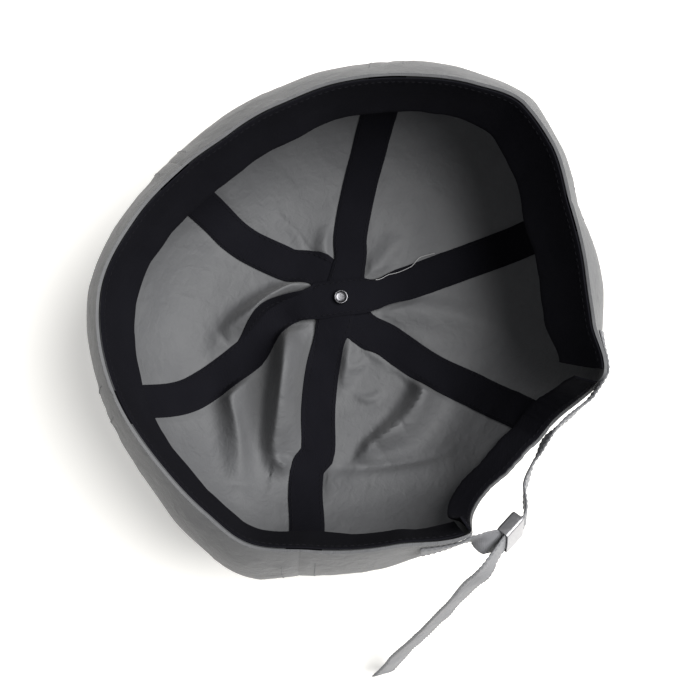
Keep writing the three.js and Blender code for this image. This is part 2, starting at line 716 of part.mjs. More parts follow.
function geometryOf(solid) {
  const mesh = solid.getMesh();
  const geometry = new THREE.BufferGeometry();
  geometry.setAttribute('position', new THREE.Float32BufferAttribute(mesh.vertProperties, 3));
  geometry.setIndex(Array.from(mesh.triVerts));
  geometry.computeVertexNormals();
  return geometry;
}

// A tape with the hole that lets the button's shank through
function piercedTape(tape) {
  const punch = new THREE.CylinderGeometry(shankHole, shankHole, 30, 16).rotateX(Math.PI / 2);
  return geometryOf(solidOf(tapeGeometry(tape)).subtract(solidOf(punch)));
}

// Finishes
const materials = {
  nylon: new THREE.MeshStandardMaterial({ color: 0x7d7e82, roughness: 0.72, metalness: 0 }),
  cotton: new THREE.MeshStandardMaterial({ color: 0x16161a, roughness: 0.92, metalness: 0 }),
  strap: new THREE.MeshStandardMaterial({ color: 0x86878a, roughness: 0.7, metalness: 0 }),
  metal: new THREE.MeshStandardMaterial({ color: 0xc9cacc, roughness: 0.28, metalness: 1 }),
};

const cap = new THREE.Group();

function add(name, geometry, material) {
  const mesh = new THREE.Mesh(geometry, material);
  mesh.name = name;
  cap.add(mesh);
}

for (const panel of panels) add(panel.name, panelGeometry(panel), materials.nylon);
for (const tape of tapes) add(tape.name, piercedTape(tape), materials.cotton);
add('sweatband', bandGeometry(), materials.cotton);
add('arch_binding', facingGeometry(), materials.cotton);

const longStrap = [
  ...tabRows([201.5, 198.5, 195.5, archLeft + 0.8]),
  ...strapToSleeve,
  ...[-sleeveHold, -sleeveGrip, sleeveGrip, sleeveHold].map((through) => rowInSleeve(through, 0)),
  ...looseEnd,
];
const shortStrap = [
  ...tabRows([140, 142.6, 145.2, 147.8]),
  ...shortStrapRoute,
  ...[sleeveHold, 0].map((through) => rowInSleeve(through, rearSlot)),
];
add('strap_long', strapGeometry(longStrap), materials.strap);
add('strap_short', strapGeometry(shortStrap), materials.strap);
add('buckle', closed(sleeveGeometry()), materials.metal);
add('top_button', closed(buttonGeometry()), materials.nylon);
add('button_rivet', closed(rivetGeometry()), materials.metal);

export default cap;
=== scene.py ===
"""A soft six-panel cap without a brim, lying on its crown with the head opening up.

Lengths are millimetres and become metres when a mesh is made. The origin is under the crown's
button, +Z is up, the cap's front is -Y and the wearer's right is +X. A direction is in degrees
round the button, from the front towards the wearer's right. A reach is a distance from the
button, measured along the cloth.
"""
import math

import bpy
import numpy as np
from mathutils import Matrix


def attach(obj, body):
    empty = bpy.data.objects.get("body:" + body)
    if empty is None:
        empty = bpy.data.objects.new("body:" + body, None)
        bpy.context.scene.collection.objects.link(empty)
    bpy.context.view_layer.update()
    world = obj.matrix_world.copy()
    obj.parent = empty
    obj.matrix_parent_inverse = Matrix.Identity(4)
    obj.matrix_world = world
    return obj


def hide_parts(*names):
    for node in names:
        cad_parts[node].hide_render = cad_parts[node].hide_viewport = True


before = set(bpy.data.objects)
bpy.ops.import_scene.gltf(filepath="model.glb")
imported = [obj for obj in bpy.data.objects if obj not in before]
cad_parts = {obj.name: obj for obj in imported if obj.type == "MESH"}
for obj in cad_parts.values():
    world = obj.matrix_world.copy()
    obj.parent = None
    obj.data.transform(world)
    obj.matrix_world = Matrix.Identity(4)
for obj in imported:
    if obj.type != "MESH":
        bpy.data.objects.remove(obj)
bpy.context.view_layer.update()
MM = 0.001

# The camera looks down into the cap from the wearer's right and a little behind it, almost
# straight down, as the photograph does.
CAMERA_AZIMUTH = 124.0
CAMERA_ELEVATION = 85.0
CAMERA_PLACE = np.array([67.9, 50.5, 712.6])
CAMERA_LENS = 83.9
CAMERA_SENSOR = 36.0
CAMERA_NEAR = 0.01

turn, rise = math.radians(CAMERA_AZIMUTH), math.radians(CAMERA_ELEVATION)
to_camera = np.array([math.sin(turn) * math.cos(rise), -math.cos(turn) * math.cos(rise), math.sin(rise)])
camera_right = np.array([math.cos(turn), math.sin(turn), 0.0])
camera_up = np.cross(to_camera, camera_right)


def put_in_scene(made, right, up, back, place):
    """Puts a camera or a lamp in the scene: its three axes and its place in metres are the columns
    of its matrix."""
    columns = np.column_stack([right, up, back, place])
    made.matrix_world = Matrix(np.vstack([columns, [0, 0, 0, 1]]).tolist())
    bpy.context.scene.collection.objects.link(made)


camera = bpy.data.objects.new("camera", bpy.data.cameras.new("camera"))
camera.data.lens = CAMERA_LENS
camera.data.sensor_width = CAMERA_SENSOR
camera.data.clip_start = CAMERA_NEAR
put_in_scene(camera, camera_right, camera_up, to_camera, CAMERA_PLACE * MM)
bpy.context.scene.camera = camera


# The crown's cloth: six panels of plain-woven grey nylon, cut as long triangles and sewn together
# edge to edge. The cap is soft and unlined, so lying down it slumps: its floor is flat round the
# raised button, its wall bulges out over the floor, and the slack cloth lies in folds.
CLOTH = 1.2
FLOOR_CLEAR = 0.02
EDGE_CLOTH = 0.95
EDGE_ROLL = 2.4
FLOOR_HEIGHT = CLOTH
BUTTON_LIFT = 4.4
BUTTON_LIFT_RADIUS = 28.0
CROWN_HOLE = 4.0
PANEL_GAP = 0.06
FLOOR_HANDLE = 0.55
BELLY_HANDLE = 0.5
PANEL_ROWS = 150
PANEL_COLUMNS = 84
LEVEL_SHARE = 0.88
PUCKER = 0.3
PUCKER_SIZE = 6.0
PUCKER_FROM_SEAM = 8.0
TAPE_HOLD = 0.9
TAPE_HOLD_FROM = 5.5
TAPE_HOLD_TO = 10.5
HEM_HOLD = 14.0
GATHERED_FROM = 14.0
GATHERED_TO = 60.0
CREASE_WIDTH = 0.09
OUTLINE_STEPS = 40
WALL_STEPS = 60
NORMAL_STEP = 0.6
SMOOTH_STEP = 0.7
LEAST_HEM_REACH = 60.0
TABLE_TURN = 0.5
TABLE_REACH = 0.5
LONGEST_REACH = 205.0


def table(names, *rows):
    """A short table, as its columns' names and then its rows. Each row becomes a dict."""
    return [dict(zip(names.split(), row)) for row in rows]


# rim: the rim's radius. top: its height. belly: how far the wall stands out beyond the rim at its
# widest. belly_height: how high that is. lean: how much it still leans outwards there. foot: the
# radius where the wall leaves the floor. band: how far the sweatband's free edge leans in.
SECTIONS = table(
    "at rim top belly belly_height lean foot band",
    (0, 71.7, 96, 11.2, 62, 0, 44, 8.7),
    (20, 80.8, 95.5, 9.8, 62, 0, 49, 8.7),
    (40, 92, 95, 8, 62, 0, 56, 8.7),
    (60, 96.9, 94.5, 7.8, 61, 0, 60, 7.3),
    (80, 100.1, 94, 9.8, 60, 0, 66, 4.6),
    (95, 105, 93.5, 12.4, 58, 0, 71, 4.2),
    (106, 109.4, 93.5, 13, 57, 0, 74, 4.2),
    (118, 106.6, 94, 10.2, 57, 0, 73, 5.5),
    (135, 106.2, 94.5, 7.6, 58, 0, 70, 3.2),
    (150.3, 111.2, 95, 0.5, 66, 6, 66, 4),
    (166, 104, 95, -1.6, 50, 20, 56, 8),
    (180, 103, 95, -1.2, 50, 20, 51, 12),
    (192.1, 107.7, 95, 0, 66, 8, 53, 13),
    (202, 98.4, 95, 6.6, 61, 0, 56, 14),
    (213, 93.9, 95, 9.1, 62, 0, 57, 12.6),
    (230, 91.8, 95, 6.7, 62, 0, 57, 13),
    (245, 95, 95, 6.3, 62, 0, 59, 12.4),
    (256, 95.6, 95.5, 9, 62, 0, 58, 10.2),
    (268, 89, 96, 11.2, 63, 0, 54, 6.8),
    (285, 79.6, 96.5, 12.1, 64, 0, 48, 6.1),
    (305, 72.4, 97, 11.2, 64, 0, 44, 6.3),
    (325, 68, 97, 11.2, 64, 0, 42, 7.8),
    (342, 67.6, 96.5, 11.7, 63, 0, 42, 7.5),
)

# Each seam's direction at the rim, and at these reaches from the button
SEAM_REACHES = dict(hub=12, near=28, middle=48, fold=69, wall=75, rim=110)
SEAMS = {
    "front": dict(hub=-22, near=1, middle=4, fold=1.4, wall=1, rim=0.5),
    "right_front": dict(hub=42, near=48, middle=65, fold=67, wall=67, rim=63),
    "right_back": dict(hub=108, near=109, middle=112, fold=115.4, wall=112.9, rim=116),
    "back": dict(hub=158, near=172, middle=175, fold=178.6, wall=179, rim=179.5),
    "left_back": dict(hub=222, near=227, middle=230, fold=231, wall=231, rim=231),
    "left_front": dict(hub=288, near=296, middle=295, fold=293.3, wall=293, rim=291.5),
}

# The folds of the slack cloth. start, bend and end are places on the cloth as a direction and a
# reach; lift is the fold's height; left and right are how far its two flanks run out, seen from
# inside the cap and going from start to end. A crease has a lift below zero.
FOLDS = table(
    "start bend end lift left right",
    ((16, 12), (36, 30), (52, 56), 15, 6, 4.5),
    ((60, 26), (88, 42), (101, 76), 24, 8.5, 4.4),
    ((62, 52), (80, 68), (96, 96), 12, 6.5, 5.2),
    ((99, 66), (104, 77), (112, 73), 4.5, 3, 3.4),
    ((164, 34), (165, 54), (136, 66), 15.5, 9, 4),
    ((150, 62), (138, 64), (130, 72), 6, 5, 2.8),
    ((122, 62), (132, 60), (140, 58), -2.2, 2.2, 2.2),
    ((119, 74), (140, 76), (160, 86), -2.8, 2, 2.6),
    ((116, 80), (138, 82), (158, 92), 4.2, 8, 7),
    ((118, 14), (128, 26), (124, 40), 4.5, 4.5, 5),
    ((132, 42), (140, 46), (150, 44), 2.2, 2.4, 2),
    ((128, 30), (138, 31), (148, 28), 1.8, 2.2, 1.8),
    ((150, 22), (158, 30), (166, 32), 2.4, 3, 2.6),
    ((318, 14), (322, 24), (312, 34), 3.6, 4, 3.4),
    ((262, 14), (256, 24), (262, 40), 3.4, 5, 4),
    ((196, 18), (206, 36), (204, 66), 4, 6, 7),
)


def column(rows, name):
    """One named column of a table, as an array."""
    return np.array([row[name] for row in rows], float)


def curve_through(places, values, at, turn=0.0):
    """A smooth curve through a table's column: cubic pieces whose slope at a row is the harmonic
    mean of the slopes on its two sides, or level where the row is higher or lower than both
    its neighbours. With a turn the table starts again after that many degrees."""
    places, values, at = np.asarray(places, float), np.asarray(values, float), np.asarray(at, float)
    if turn:
        at = at % turn
        places = np.concatenate([places[-2:] - turn, places, places[:2] + turn])
        values = np.concatenate([values[-2:], values, values[:2]])
    at = np.clip(at, places[0], places[-1])
    slopes = np.diff(values) / np.diff(places)
    before, after = slopes[:-1], slopes[1:]
    same_way = before * after > 0
    mean = 2 * before * after / np.where(same_way, before + after, 1)
    slopes = np.concatenate([[0], np.where(same_way, mean, 0), [0]])
    k = np.clip(np.searchsorted(places, at, side="right") - 1, 0, len(places) - 2)
    width = places[k + 1] - places[k]
    t = (at - places[k]) / width
    change = values[k + 1] - values[k]
    a, b = slopes[k] * width, slopes[k + 1] * width
    return values[k] + t * (a + t * (3 * change - 2 * a - b + t * (a + b - 2 * change)))


def curve_points(places, points, at):
    """A smooth curve through points, each at its place along the curve."""
    points = np.asarray(points, float)
    return np.stack([curve_through(places, points[:, k], at) for k in range(points.shape[1])], -1)


def section(azimuth, name):
    """One column of the section table in any direction."""
    return curve_through(column(SECTIONS, "at"), column(SECTIONS, name), azimuth, 360)


def smooth_step(x, low, high):
    """0 below low, 1 above high, and a smooth S between them."""
    t = np.clip((np.asarray(x, float) - low) / (high - low), 0, 1)
    return t * t * (3 - 2 * t)


def plan(azimuth, radius):
    """The x and y of a direction and a radius, stacked on a last axis."""
    a = np.radians(azimuth)
    return np.stack([np.sin(a) * radius, -np.cos(a) * radius], -1)


def direction_of(points):
    """The direction of each point round the button, from 0 to 360 degrees."""
    return np.degrees(np.arctan2(points[..., 0], -points[..., 1])) % 360


def seam_direction(seam, reach):
    """Where a seam lies at a reach: a smooth curve through its row of the seam table."""
    return curve_through(list(SEAM_REACHES.values()), list(SEAMS[seam].values()), reach)


# The arch: the hem drops between the rim's two back corners
LEFT_CORNER = np.array([-22.7, 105.3])
RIGHT_CORNER = np.array([55.0, 96.7])
ARCH_DEPTH = 46.0
ARCH_SQUARENESS = dict(left=2.4, right=15.0)
arch_left = float(direction_of(LEFT_CORNER))
arch_right = float(direction_of(RIGHT_CORNER))


def hem_height(azimuth):
    """The rim's height, less the arch's depth times one minus the distance from the arch's middle
    to a power, a higher one on the right, where the hem drops almost straight down. The distance
    is measured along the line between the corners, as a share."""
    azimuth = np.asarray(azimuth, float) % 360
    ray = plan(azimuth, 1.0)
    chord = RIGHT_CORNER - LEFT_CORNER
    across = chord[0] * ray[..., 1] - chord[1] * ray[..., 0]
    beside = LEFT_CORNER[1] * ray[..., 0] - LEFT_CORNER[0] * ray[..., 1]
    share = beside / np.where(abs(across) < 1e-9, 1, across)
    power = np.where(share > 0.5, ARCH_SQUARENESS["right"], ARCH_SQUARENESS["left"])
    drop = ARCH_DEPTH * (1 - np.abs(2 * np.clip(share, 0, 1) - 1) ** power)
    in_arch = (azimuth > arch_right) & (azimuth < arch_left)
    return section(azimuth, "top") - np.where(in_arch, drop, 0)


def crown_profile(azimuth):
    """The inner face's outline in each direction, as radius and height from the button to the
    rim: a level floor with a smooth rise at the button, a cubic wall from the foot to the belly,
    and a parabola from the belly in to the rim."""
    names = ("rim", "top", "belly", "belly_height", "lean", "foot")
    rim, top, belly, belly_height, lean, foot = (section(azimuth, name)[:, None] for name in names)
    widest = rim + belly
    floor = np.linspace(0, 1, OUTLINE_STEPS)[None]
    floor_radius = foot * floor
    floor_height = FLOOR_HEIGHT + BUTTON_LIFT * (1 - smooth_step(floor_radius, 0, BUTTON_LIFT_RADIUS))
    t = np.linspace(0, 1, WALL_STEPS)[None, 1:]
    a, b, c, d = (1 - t) ** 3, 3 * t * (1 - t) ** 2, 3 * t * t * (1 - t), t ** 3
    floor_handle = foot + FLOOR_HANDLE * (widest - foot)
    belly_handle = belly_height - BELLY_HANDLE * (belly_height - FLOOR_HEIGHT)
    wall_radius = a * foot + b * floor_handle + c * (widest - lean) + d * widest
    wall_height = (a + b) * FLOOR_HEIGHT + c * belly_handle + d * belly_height
    u = np.linspace(0, 1, OUTLINE_STEPS)[None, 1:]
    rim_radius = widest - belly * u * u
    rim_height = belly_height + (top - belly_height) * u
    radius = np.concatenate([floor_radius, wall_radius, rim_radius], 1)
    return radius, np.concatenate([floor_height, wall_height, rim_height], 1)


# The outline of every direction, resampled at even reaches, so that any place can be looked up
table_azimuths = np.arange(0, 360 + TABLE_TURN, TABLE_TURN)
table_reaches = np.arange(0, LONGEST_REACH, TABLE_REACH)
profile_radius, profile_height = crown_profile(table_azimuths)
walked = np.hypot(np.diff(profile_radius, axis=1), np.diff(profile_height, axis=1)).cumsum(1)
walked = np.concatenate([np.zeros((len(walked), 1)), walked], 1)
row_offset = np.arange(len(walked))[:, None] * 2 * LONGEST_REACH
asked = (np.minimum(table_reaches[None], walked[:, -1:]) + row_offset).ravel()
given = (walked + row_offset).ravel()
table_radius, table_height = (np.interp(asked, given, profile.ravel()).reshape(len(walked), -1)
                              for profile in (profile_radius, profile_height))
above_hem = table_height >= hem_height(table_azimuths)[:, None] - 1e-6
table_hem = table_reaches[np.argmax(above_hem & (table_reaches[None] > LEAST_HEM_REACH), axis=1)]


def look_up(table, azimuth, reach):
    """A table's value between its four nearest entries."""
    i = (np.asarray(azimuth) % 360) / TABLE_TURN
    j = np.clip(reach, 0, LONGEST_REACH - 2 * TABLE_REACH) / TABLE_REACH
    i0, j0 = i.astype(int), j.astype(int)
    s, t = i - i0, j - j0
    low = table[i0, j0] * (1 - s) + table[i0 + 1, j0] * s
    high = table[i0, j0 + 1] * (1 - s) + table[i0 + 1, j0 + 1] * s
    return low * (1 - t) + high * t


def smooth_cloth(azimuth, reach):
    """The inner face without its folds."""
    azimuth, reach = np.broadcast_arrays(np.asarray(azimuth, float), np.asarray(reach, float))
    radius = look_up(table_radius, azimuth, reach)
    height = look_up(table_height, azimuth, reach)
    return np.concatenate([plan(azimuth, radius), height[..., None]], -1)


def hem_reach(azimuth):
    """The reach at which each direction meets the hem."""
    return np.interp(np.asarray(azimuth, float) % 360, table_azimuths, table_hem)


LATTICE = 32
lattice = np.random.default_rng(11).uniform(-1, 1, (LATTICE, LATTICE, LATTICE))


def drift(points, size, shift=0.0):
    """A smooth random field between -1 and 1 with features of one size: random values on a
    lattice, blended between the eight nearest by smooth steps."""
    q = points / size + shift
    base = np.floor(q).astype(int)
    f = q - base
    f = f * f * f * (f * (f * 6 - 15) + 10)
    total = np.zeros(points.shape[:-1])
    for corner in np.ndindex(2, 2, 2):
        weight = np.prod([f[..., k] if corner[k] else 1 - f[..., k] for k in range(3)], axis=0)
        x, y, z = ((base[..., k] + corner[k]) % LATTICE for k in range(3))
        total += weight * lattice[x, y, z]
    return total


def unit(vectors):
    """Vectors scaled to length one."""
    return vectors / np.maximum(np.linalg.norm(vectors, axis=-1, keepdims=True), 1e-12)


FOLD_POINTS = 26
FOLD_FLANKS = 2.6
FOLD_SPAN = 0.7
FOLD_TAPER = 0.7
FOLD_TIP = 0.02


def fold_lift(points, fold):
    """One fold's height at each point. Its line is a curve through start, bend and end. Across
    the line the height falls off as a bell, faster on the side with the shorter flank, and it
    dies away towards both ends."""
    start, bend, end = (smooth_cloth(*fold[name]) for name in ("start", "bend", "end"))
    handle = 2 * bend - (start + end) / 2
    t = np.linspace(0, 1, FOLD_POINTS)[:, None]
    line = (1 - t) ** 2 * start + 2 * t * (1 - t) * handle + t * t * end
    reach_out = FOLD_SPAN * np.linalg.norm(end - start) + FOLD_FLANKS * max(fold["left"], fold["right"])
    near = np.linalg.norm(points - line.mean(0), axis=-1) < reach_out
    lift = np.zeros(points.shape[:-1])
    p = points[near][:, None]
    a, b = line[:-1][None], line[1:][None]
    along = np.clip(((p - a) * (b - a)).sum(-1) / ((b - a) ** 2).sum(-1), 0, 1)
    offset = p - (a + along[..., None] * (b - a))
    away = np.linalg.norm(offset, axis=-1)
    k = away.argmin(1)
    pick = np.arange(len(k))
    segment = (b - a)[0, k]
    side = segment[:, 0] * offset[pick, k, 1] - segment[:, 1] * offset[pick, k, 0]
    width = np.where(side > 0, fold["left"], fold["right"])
    share = (k + along[pick, k]) / (FOLD_POINTS - 1)
    taper = np.sin(np.pi * np.clip(share, FOLD_TIP, 1 - FOLD_TIP)) ** FOLD_TAPER
    lift[near] = fold["lift"] * taper * np.exp(-(away[pick, k] / width) ** 2)
    return lift


# Slow waves, short ones and creases. size and shift: their random field. height: how high they
# are. gathered: what is added to that beside the button.
WRINKLES = table(
    "size shift height gathered",
    (34, 1.7, 0.7, 0),
    (8.5, 3.1, 0.14, 0.3),
    (17, 5.3, 0.16, 0.3),
)


def wrinkles(points):
    """The cloth's small unevenness: slow waves, softer short ones, and faint creases where a
    third field crosses zero. It is stronger round the button, where the cloth is gathered."""
    radius = np.hypot(points[..., 0], points[..., 1])
    gathered = 1 - smooth_step(radius, GATHERED_FROM, GATHERED_TO)
    slow, short, creases = (drift(points, row["size"], row["shift"]) for row in WRINKLES)
    creases = -np.exp(-(creases / CREASE_WIDTH) ** 2)
    return sum((row["height"] + row["gathered"] * gathered) * field
               for row, field in zip(WRINKLES, (slow, short, creases)))


def from_seam(azimuth, reach):
    """The distance to the nearest seam."""
    radius = look_up(table_radius, azimuth, reach)
    nearest = np.full(np.shape(radius), 180.0)
    for seam in SEAMS:
        gap = (azimuth - seam_direction(seam, reach) + 180) % 360 - 180
        nearest = np.minimum(nearest, np.abs(gap))
    return np.radians(nearest) * radius


def normal_of(face, azimuth, reach, turn_step, reach_step):
    """A face's normal, from small steps both ways in its directions and its reaches."""
    along = face(azimuth, reach + reach_step) - face(azimuth, np.maximum(reach - reach_step, 0))
    around = face(azimuth + turn_step, reach) - face(azimuth - turn_step, reach)
    return unit(np.cross(along, around))


def cloth(azimuth, reach):
    """The inner face with its folds: the smooth face moved along its normal by every fold and by
    the wrinkles, which the taped seams hold down, and by the puckers that the stitching draws up
    beside them. The floor stays above what the cap lies on."""
    point = smooth_cloth(azimuth, reach)
    normal = normal_of(smooth_cloth, azimuth, reach, SMOOTH_STEP, SMOOTH_STEP)
    lift = wrinkles(point)
    for fold in FOLDS:
        lift = lift + fold_lift(point, fold)
    away = from_seam(azimuth, reach)
    beside_seam = np.exp(-((away - PUCKER_FROM_SEAM) / PUCKER_FROM_SEAM) ** 2)
    held = TAPE_HOLD * (1 - smooth_step(away, TAPE_HOLD_FROM, TAPE_HOLD_TO))
    lift = lift * (1 - held) + PUCKER * drift(point, PUCKER_SIZE, 9.7) * beside_seam
    lift = lift * smooth_step(hem_reach(azimuth) - reach, 0, HEM_HOLD)
    lowest = FLOOR_HEIGHT - point[..., 2]
    lift = np.where(normal[..., 2] > 0.5, np.maximum(lift, lowest), lift)
    return point + normal * lift[..., None]


def over_cloth(azimuth, reach, height):
    """Points at a height above the inner face, or inside the cloth where it is below zero. The
    normal is worked out from the folded face by small steps both ways."""
    azimuth, reach = np.broadcast_arrays(np.asarray(azimuth, float), np.asarray(reach, float))
    radius = np.maximum(look_up(table_radius, azimuth, reach), 1.0)
    normal = normal_of(cloth, azimuth, reach, np.degrees(NORMAL_STEP / radius), NORMAL_STEP)
    return cloth(azimuth, reach) + normal * np.asarray(height)[..., None]


def grid_quads(rows, columns):
    """Four-sided faces of a grid of points that is stored row by row."""
    i, j = np.meshgrid(np.arange(rows - 1), np.arange(columns - 1), indexing="ij")
    a = i * columns + j
    return np.stack([a, a + 1, a + columns + 1, a + columns], -1).reshape(-1, 4)


def ring_quads(rows, around):
    """Four-sided faces that join each ring of points to the next one."""
    i, j = np.meshgrid(np.arange(rows - 1), np.arange(around), indexing="ij")
    a, b = i * around + j, i * around + (j + 1) % around
    return np.stack([a, b, b + around, a + around], -1).reshape(-1, 4)


def walked_along(points):
    """How far each point of a line lies from its start, along the line."""
    return np.concatenate([[0], np.cumsum(np.linalg.norm(np.diff(points, axis=0), axis=1))])


def make_mesh(name, points, quads, uv, sharp=50):
    """A mesh object from points in millimetres, faces as point numbers, and one UV per point.
    Edges that turn by more than the sharp angle, in degrees, stay sharp."""
    mesh = bpy.data.meshes.new(name)
    mesh.from_pydata((points.reshape(-1, 3) * MM).tolist(), [], quads.tolist())
    layer = mesh.uv_layers.new(name="cloth")
    layer.data.foreach_set("uv", uv.reshape(-1, 2)[quads.ravel()].ravel())
    mesh.shade_smooth()
    mesh.set_sharp_from_angle(angle=math.radians(sharp))
    piece = bpy.data.objects.new(name, mesh)
    bpy.context.scene.collection.objects.link(piece)
    return piece


def sheet_wall(name, front, back, uv, sharp=50):
    """A closed wall between two grids of points: both faces, and a strip round their border that
    joins each border point of the front to the same one of the back. Faces point outwards
    because the volume inside is measured and the faces are turned round where it is negative."""
    rows, columns = front.shape[:2]
    number = np.arange(rows * columns).reshape(rows, columns)
    border = np.concatenate([number[0, :-1], number[:-1, -1], number[-1, :0:-1], number[:0:-1, 0]])
    after = np.roll(border, -1)
    count = rows * columns
    face = grid_quads(rows, columns)
    strip = np.stack([border, border + count, after + count, after], -1)
    quads = np.concatenate([face, face[:, ::-1] + count, strip])
    points = np.concatenate([front.reshape(-1, 3), back.reshape(-1, 3)])
    a, b, c, d = (points[quads[:, k]] for k in range(4))
    volume = (a * np.cross(b, c)).sum() + (a * np.cross(c, d)).sum()
    if volume < 0:
        quads = quads[:, ::-1]
    flat = uv.reshape(-1, 2)
    return make_mesh(name, points, quads, np.concatenate([flat, flat]), sharp)


THREAD_SIDES = 6
STITCH_RINGS = table(
    "along size lift",
    (-1.0, 0.25, -0.55),
    (-0.8, 0.8, -0.1),
    (-0.3, 1.0, 0.3),
    (0.3, 1.0, 0.3),
    (0.8, 0.8, -0.1),
    (1.0, 0.25, -0.55),
)


def stitches(name, line, up, length=2.6, share=0.74, thread=0.36):
    """Machine stitches along lines: each one a short rounded thread that bows up from the cloth
    and goes into it at both ends. line holds the points of each line and up the cloth's own
    direction at each; length is the stitch with its gap, share the part of it that shows, and
    thread its thickness."""
    parts = []
    around = THREAD_SIDES
    each = len(STITCH_RINGS) * around
    for points, ups in zip(line, up):
        walked = walked_along(points)
        count = int(walked[-1] / length)
        start = (np.arange(count) + (1 - share) / 2) * length
        first, last, lift = (
            np.stack([np.interp(start + s * share * length, walked, way[:, k]) for k in range(3)], -1)
            for s, way in ((0, points), (1, points), (0.5, ups)))
        heading = unit(last - first)
        side = unit(np.cross(heading, unit(lift)))
        lift = np.cross(side, heading)
        half = np.linalg.norm(last - first, axis=-1)[:, None, None] / 2
        middle = (first + last) / 2
        turn = np.arange(around) / around * 2 * math.pi
        along = column(STITCH_RINGS, "along")[None, :, None]
        size = column(STITCH_RINGS, "size")[None, :, None] * thread / 2
        rise = column(STITCH_RINGS, "lift")[None, :, None] * thread
        ring = [np.broadcast_to(v, (count, len(STITCH_RINGS), around)) for v in (
            half * along, size * np.cos(turn)[None, None], size * np.sin(turn)[None, None] + rise)]
        made = middle[:, None, None] + sum(
            v[..., None] * axis[:, None, None] for v, axis in zip(ring, (heading, side, lift)))
        parts.append(made.reshape(-1, 3))
    points = np.concatenate(parts)
    near = np.array([[0, 3, 2, 1], [0, 5, 4, 3]])
    far = np.array([[0, 1, 2, 3], [0, 3, 4, 5]]) + each - around
    one = np.concatenate([ring_quads(len(STITCH_RINGS), around), near, far])
    quads = (one[None] + each * np.arange(len(points) // each)[:, None, None]).reshape(-1, 4)
    return make_mesh(name, points, quads, np.zeros((len(points), 2)), 180)


def tube(name, rings, uv, sharp):
    """A closed solid through rings of points, its two ends closed across their middle line."""
    rows, around = rings.shape[:2]
    k = np.arange(around // 2)
    near = np.stack([k, (around - k) % around, (around - k - 1) % around, k + 1], -1)[1:-1]
    middle = around // 2
    near = np.concatenate([[[0, around - 1, 1, 1]], near, [[middle - 1, middle + 1, middle, middle]]])
    far = near[:, ::-1] + (rows - 1) * around
    return make_mesh(name, rings, np.concatenate([ring_quads(rows, around), near, far]), uv, sharp)


def finish_piece(piece, material, node):
    """Gives a piece its material and its body, and hides the CAD node that it replaces."""
    piece.data.materials.append(material)
    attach(piece, "root")
    if node:
        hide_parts(node)
    return piece


# wide, long and area: the flat panel's greatest width, its length and its area in square
# millimetres. Each is a long triangle with curved sides.
PANELS = [
    dict(node="panel_front_right", first="front", last="right_front", wide=104, long=176, area=13000),
    dict(node="panel_side_right", first="right_front", last="right_back", wide=112, long=186, area=14900),
    dict(node="panel_back_right", first="right_back", last="back", corner=arch_right,
         wide=104, long=186, area=13300),
    dict(node="panel_back_left", first="back", last="left_back", corner=arch_left,
         wide=92, long=184, area=10900),
    dict(node="panel_side_left", first="left_back", last="left_front", wide=102, long=180, area=13100),
    dict(node="panel_front_left", first="left_front", last="front", wide=90, long=176, area=11200),
]


def panel_grid(first, last, corner=None):
    """The directions and reaches of a panel's points. Columns share out the space between its two
    seams, with one column exactly at a corner of the arch. Rows share out the way to the hem, and
    are level up to a reach that lies inside all of it."""
    share = np.linspace(0, 1, PANEL_COLUMNS)
    ends = (SEAMS[first]["rim"], SEAMS[last]["rim"] + (360 if last == "front" else 0))
    if corner is not None:
        wanted = (corner - ends[0]) / (ends[1] - ends[0])
        share = share + (wanted - share[np.abs(share - wanted).argmin()]) * (1 - np.abs(2 * share - 1))
    at_rim = ends[0] + share * (ends[1] - ends[0])
    hem = hem_reach(at_rim)
    level = LEVEL_SHARE * hem.min()
    level_rows = int(PANEL_ROWS * (level - CROWN_HOLE) / (hem.max() - CROWN_HOLE))
    outwards = np.linspace(0, 1, PANEL_ROWS - level_rows)[:, None]
    level_reach = np.linspace(CROWN_HOLE, level, level_rows, endpoint=False)[:, None]
    reach = np.concatenate([np.repeat(level_reach, PANEL_COLUMNS, 1), level + outwards * (hem - level)])
    low = seam_direction(first, reach)
    high = seam_direction(last, reach) + (360 if last == "front" else 0)
    gap = np.degrees(PANEL_GAP / 2 / np.maximum(look_up(table_radius, low, reach), CROWN_HOLE))
    azimuth = low + gap + share[None] * (high - low - 2 * gap)
    return azimuth, reach


def hex_linear(colour):
    """An sRGB colour such as #86878a as linear red, green, blue and a full alpha."""
    value = np.array([int(colour[k:k + 2], 16) for k in (1, 3, 5)]) / 255
    linear = np.where(value <= 0.04045, value / 12.92, ((value + 0.055) / 1.055) ** 2.4)
    return (*linear.tolist(), 1.0)


def set_inputs(tree, made, inputs):
    """Sets a shader node's inputs, each to a value or as a link to another node's output."""
    for socket, value in inputs.items():
        if isinstance(value, bpy.types.NodeSocket):
            tree.links.new(value, made.inputs[socket])
        else:
            made.inputs[socket].default_value = value


def add_node(tree, kind, inputs=None, **settings):
    """A shader node with its settings and its inputs."""
    made = tree.nodes.new(kind)
    for name, value in settings.items():
        setattr(made, name, value)
    set_inputs(tree, made, inputs or {})
    return made


def start_material(name):
    """A new material, with its node tree and its shader."""
    material = bpy.data.materials.new(name)
    material.use_nodes = True
    return material, material.node_tree, material.node_tree.nodes["Principled BSDF"]


# The size of the cloth's lighter and darker spots, and of its small creases
TONE_SIZE = 16.7
CREASE_SIZE = 4.35


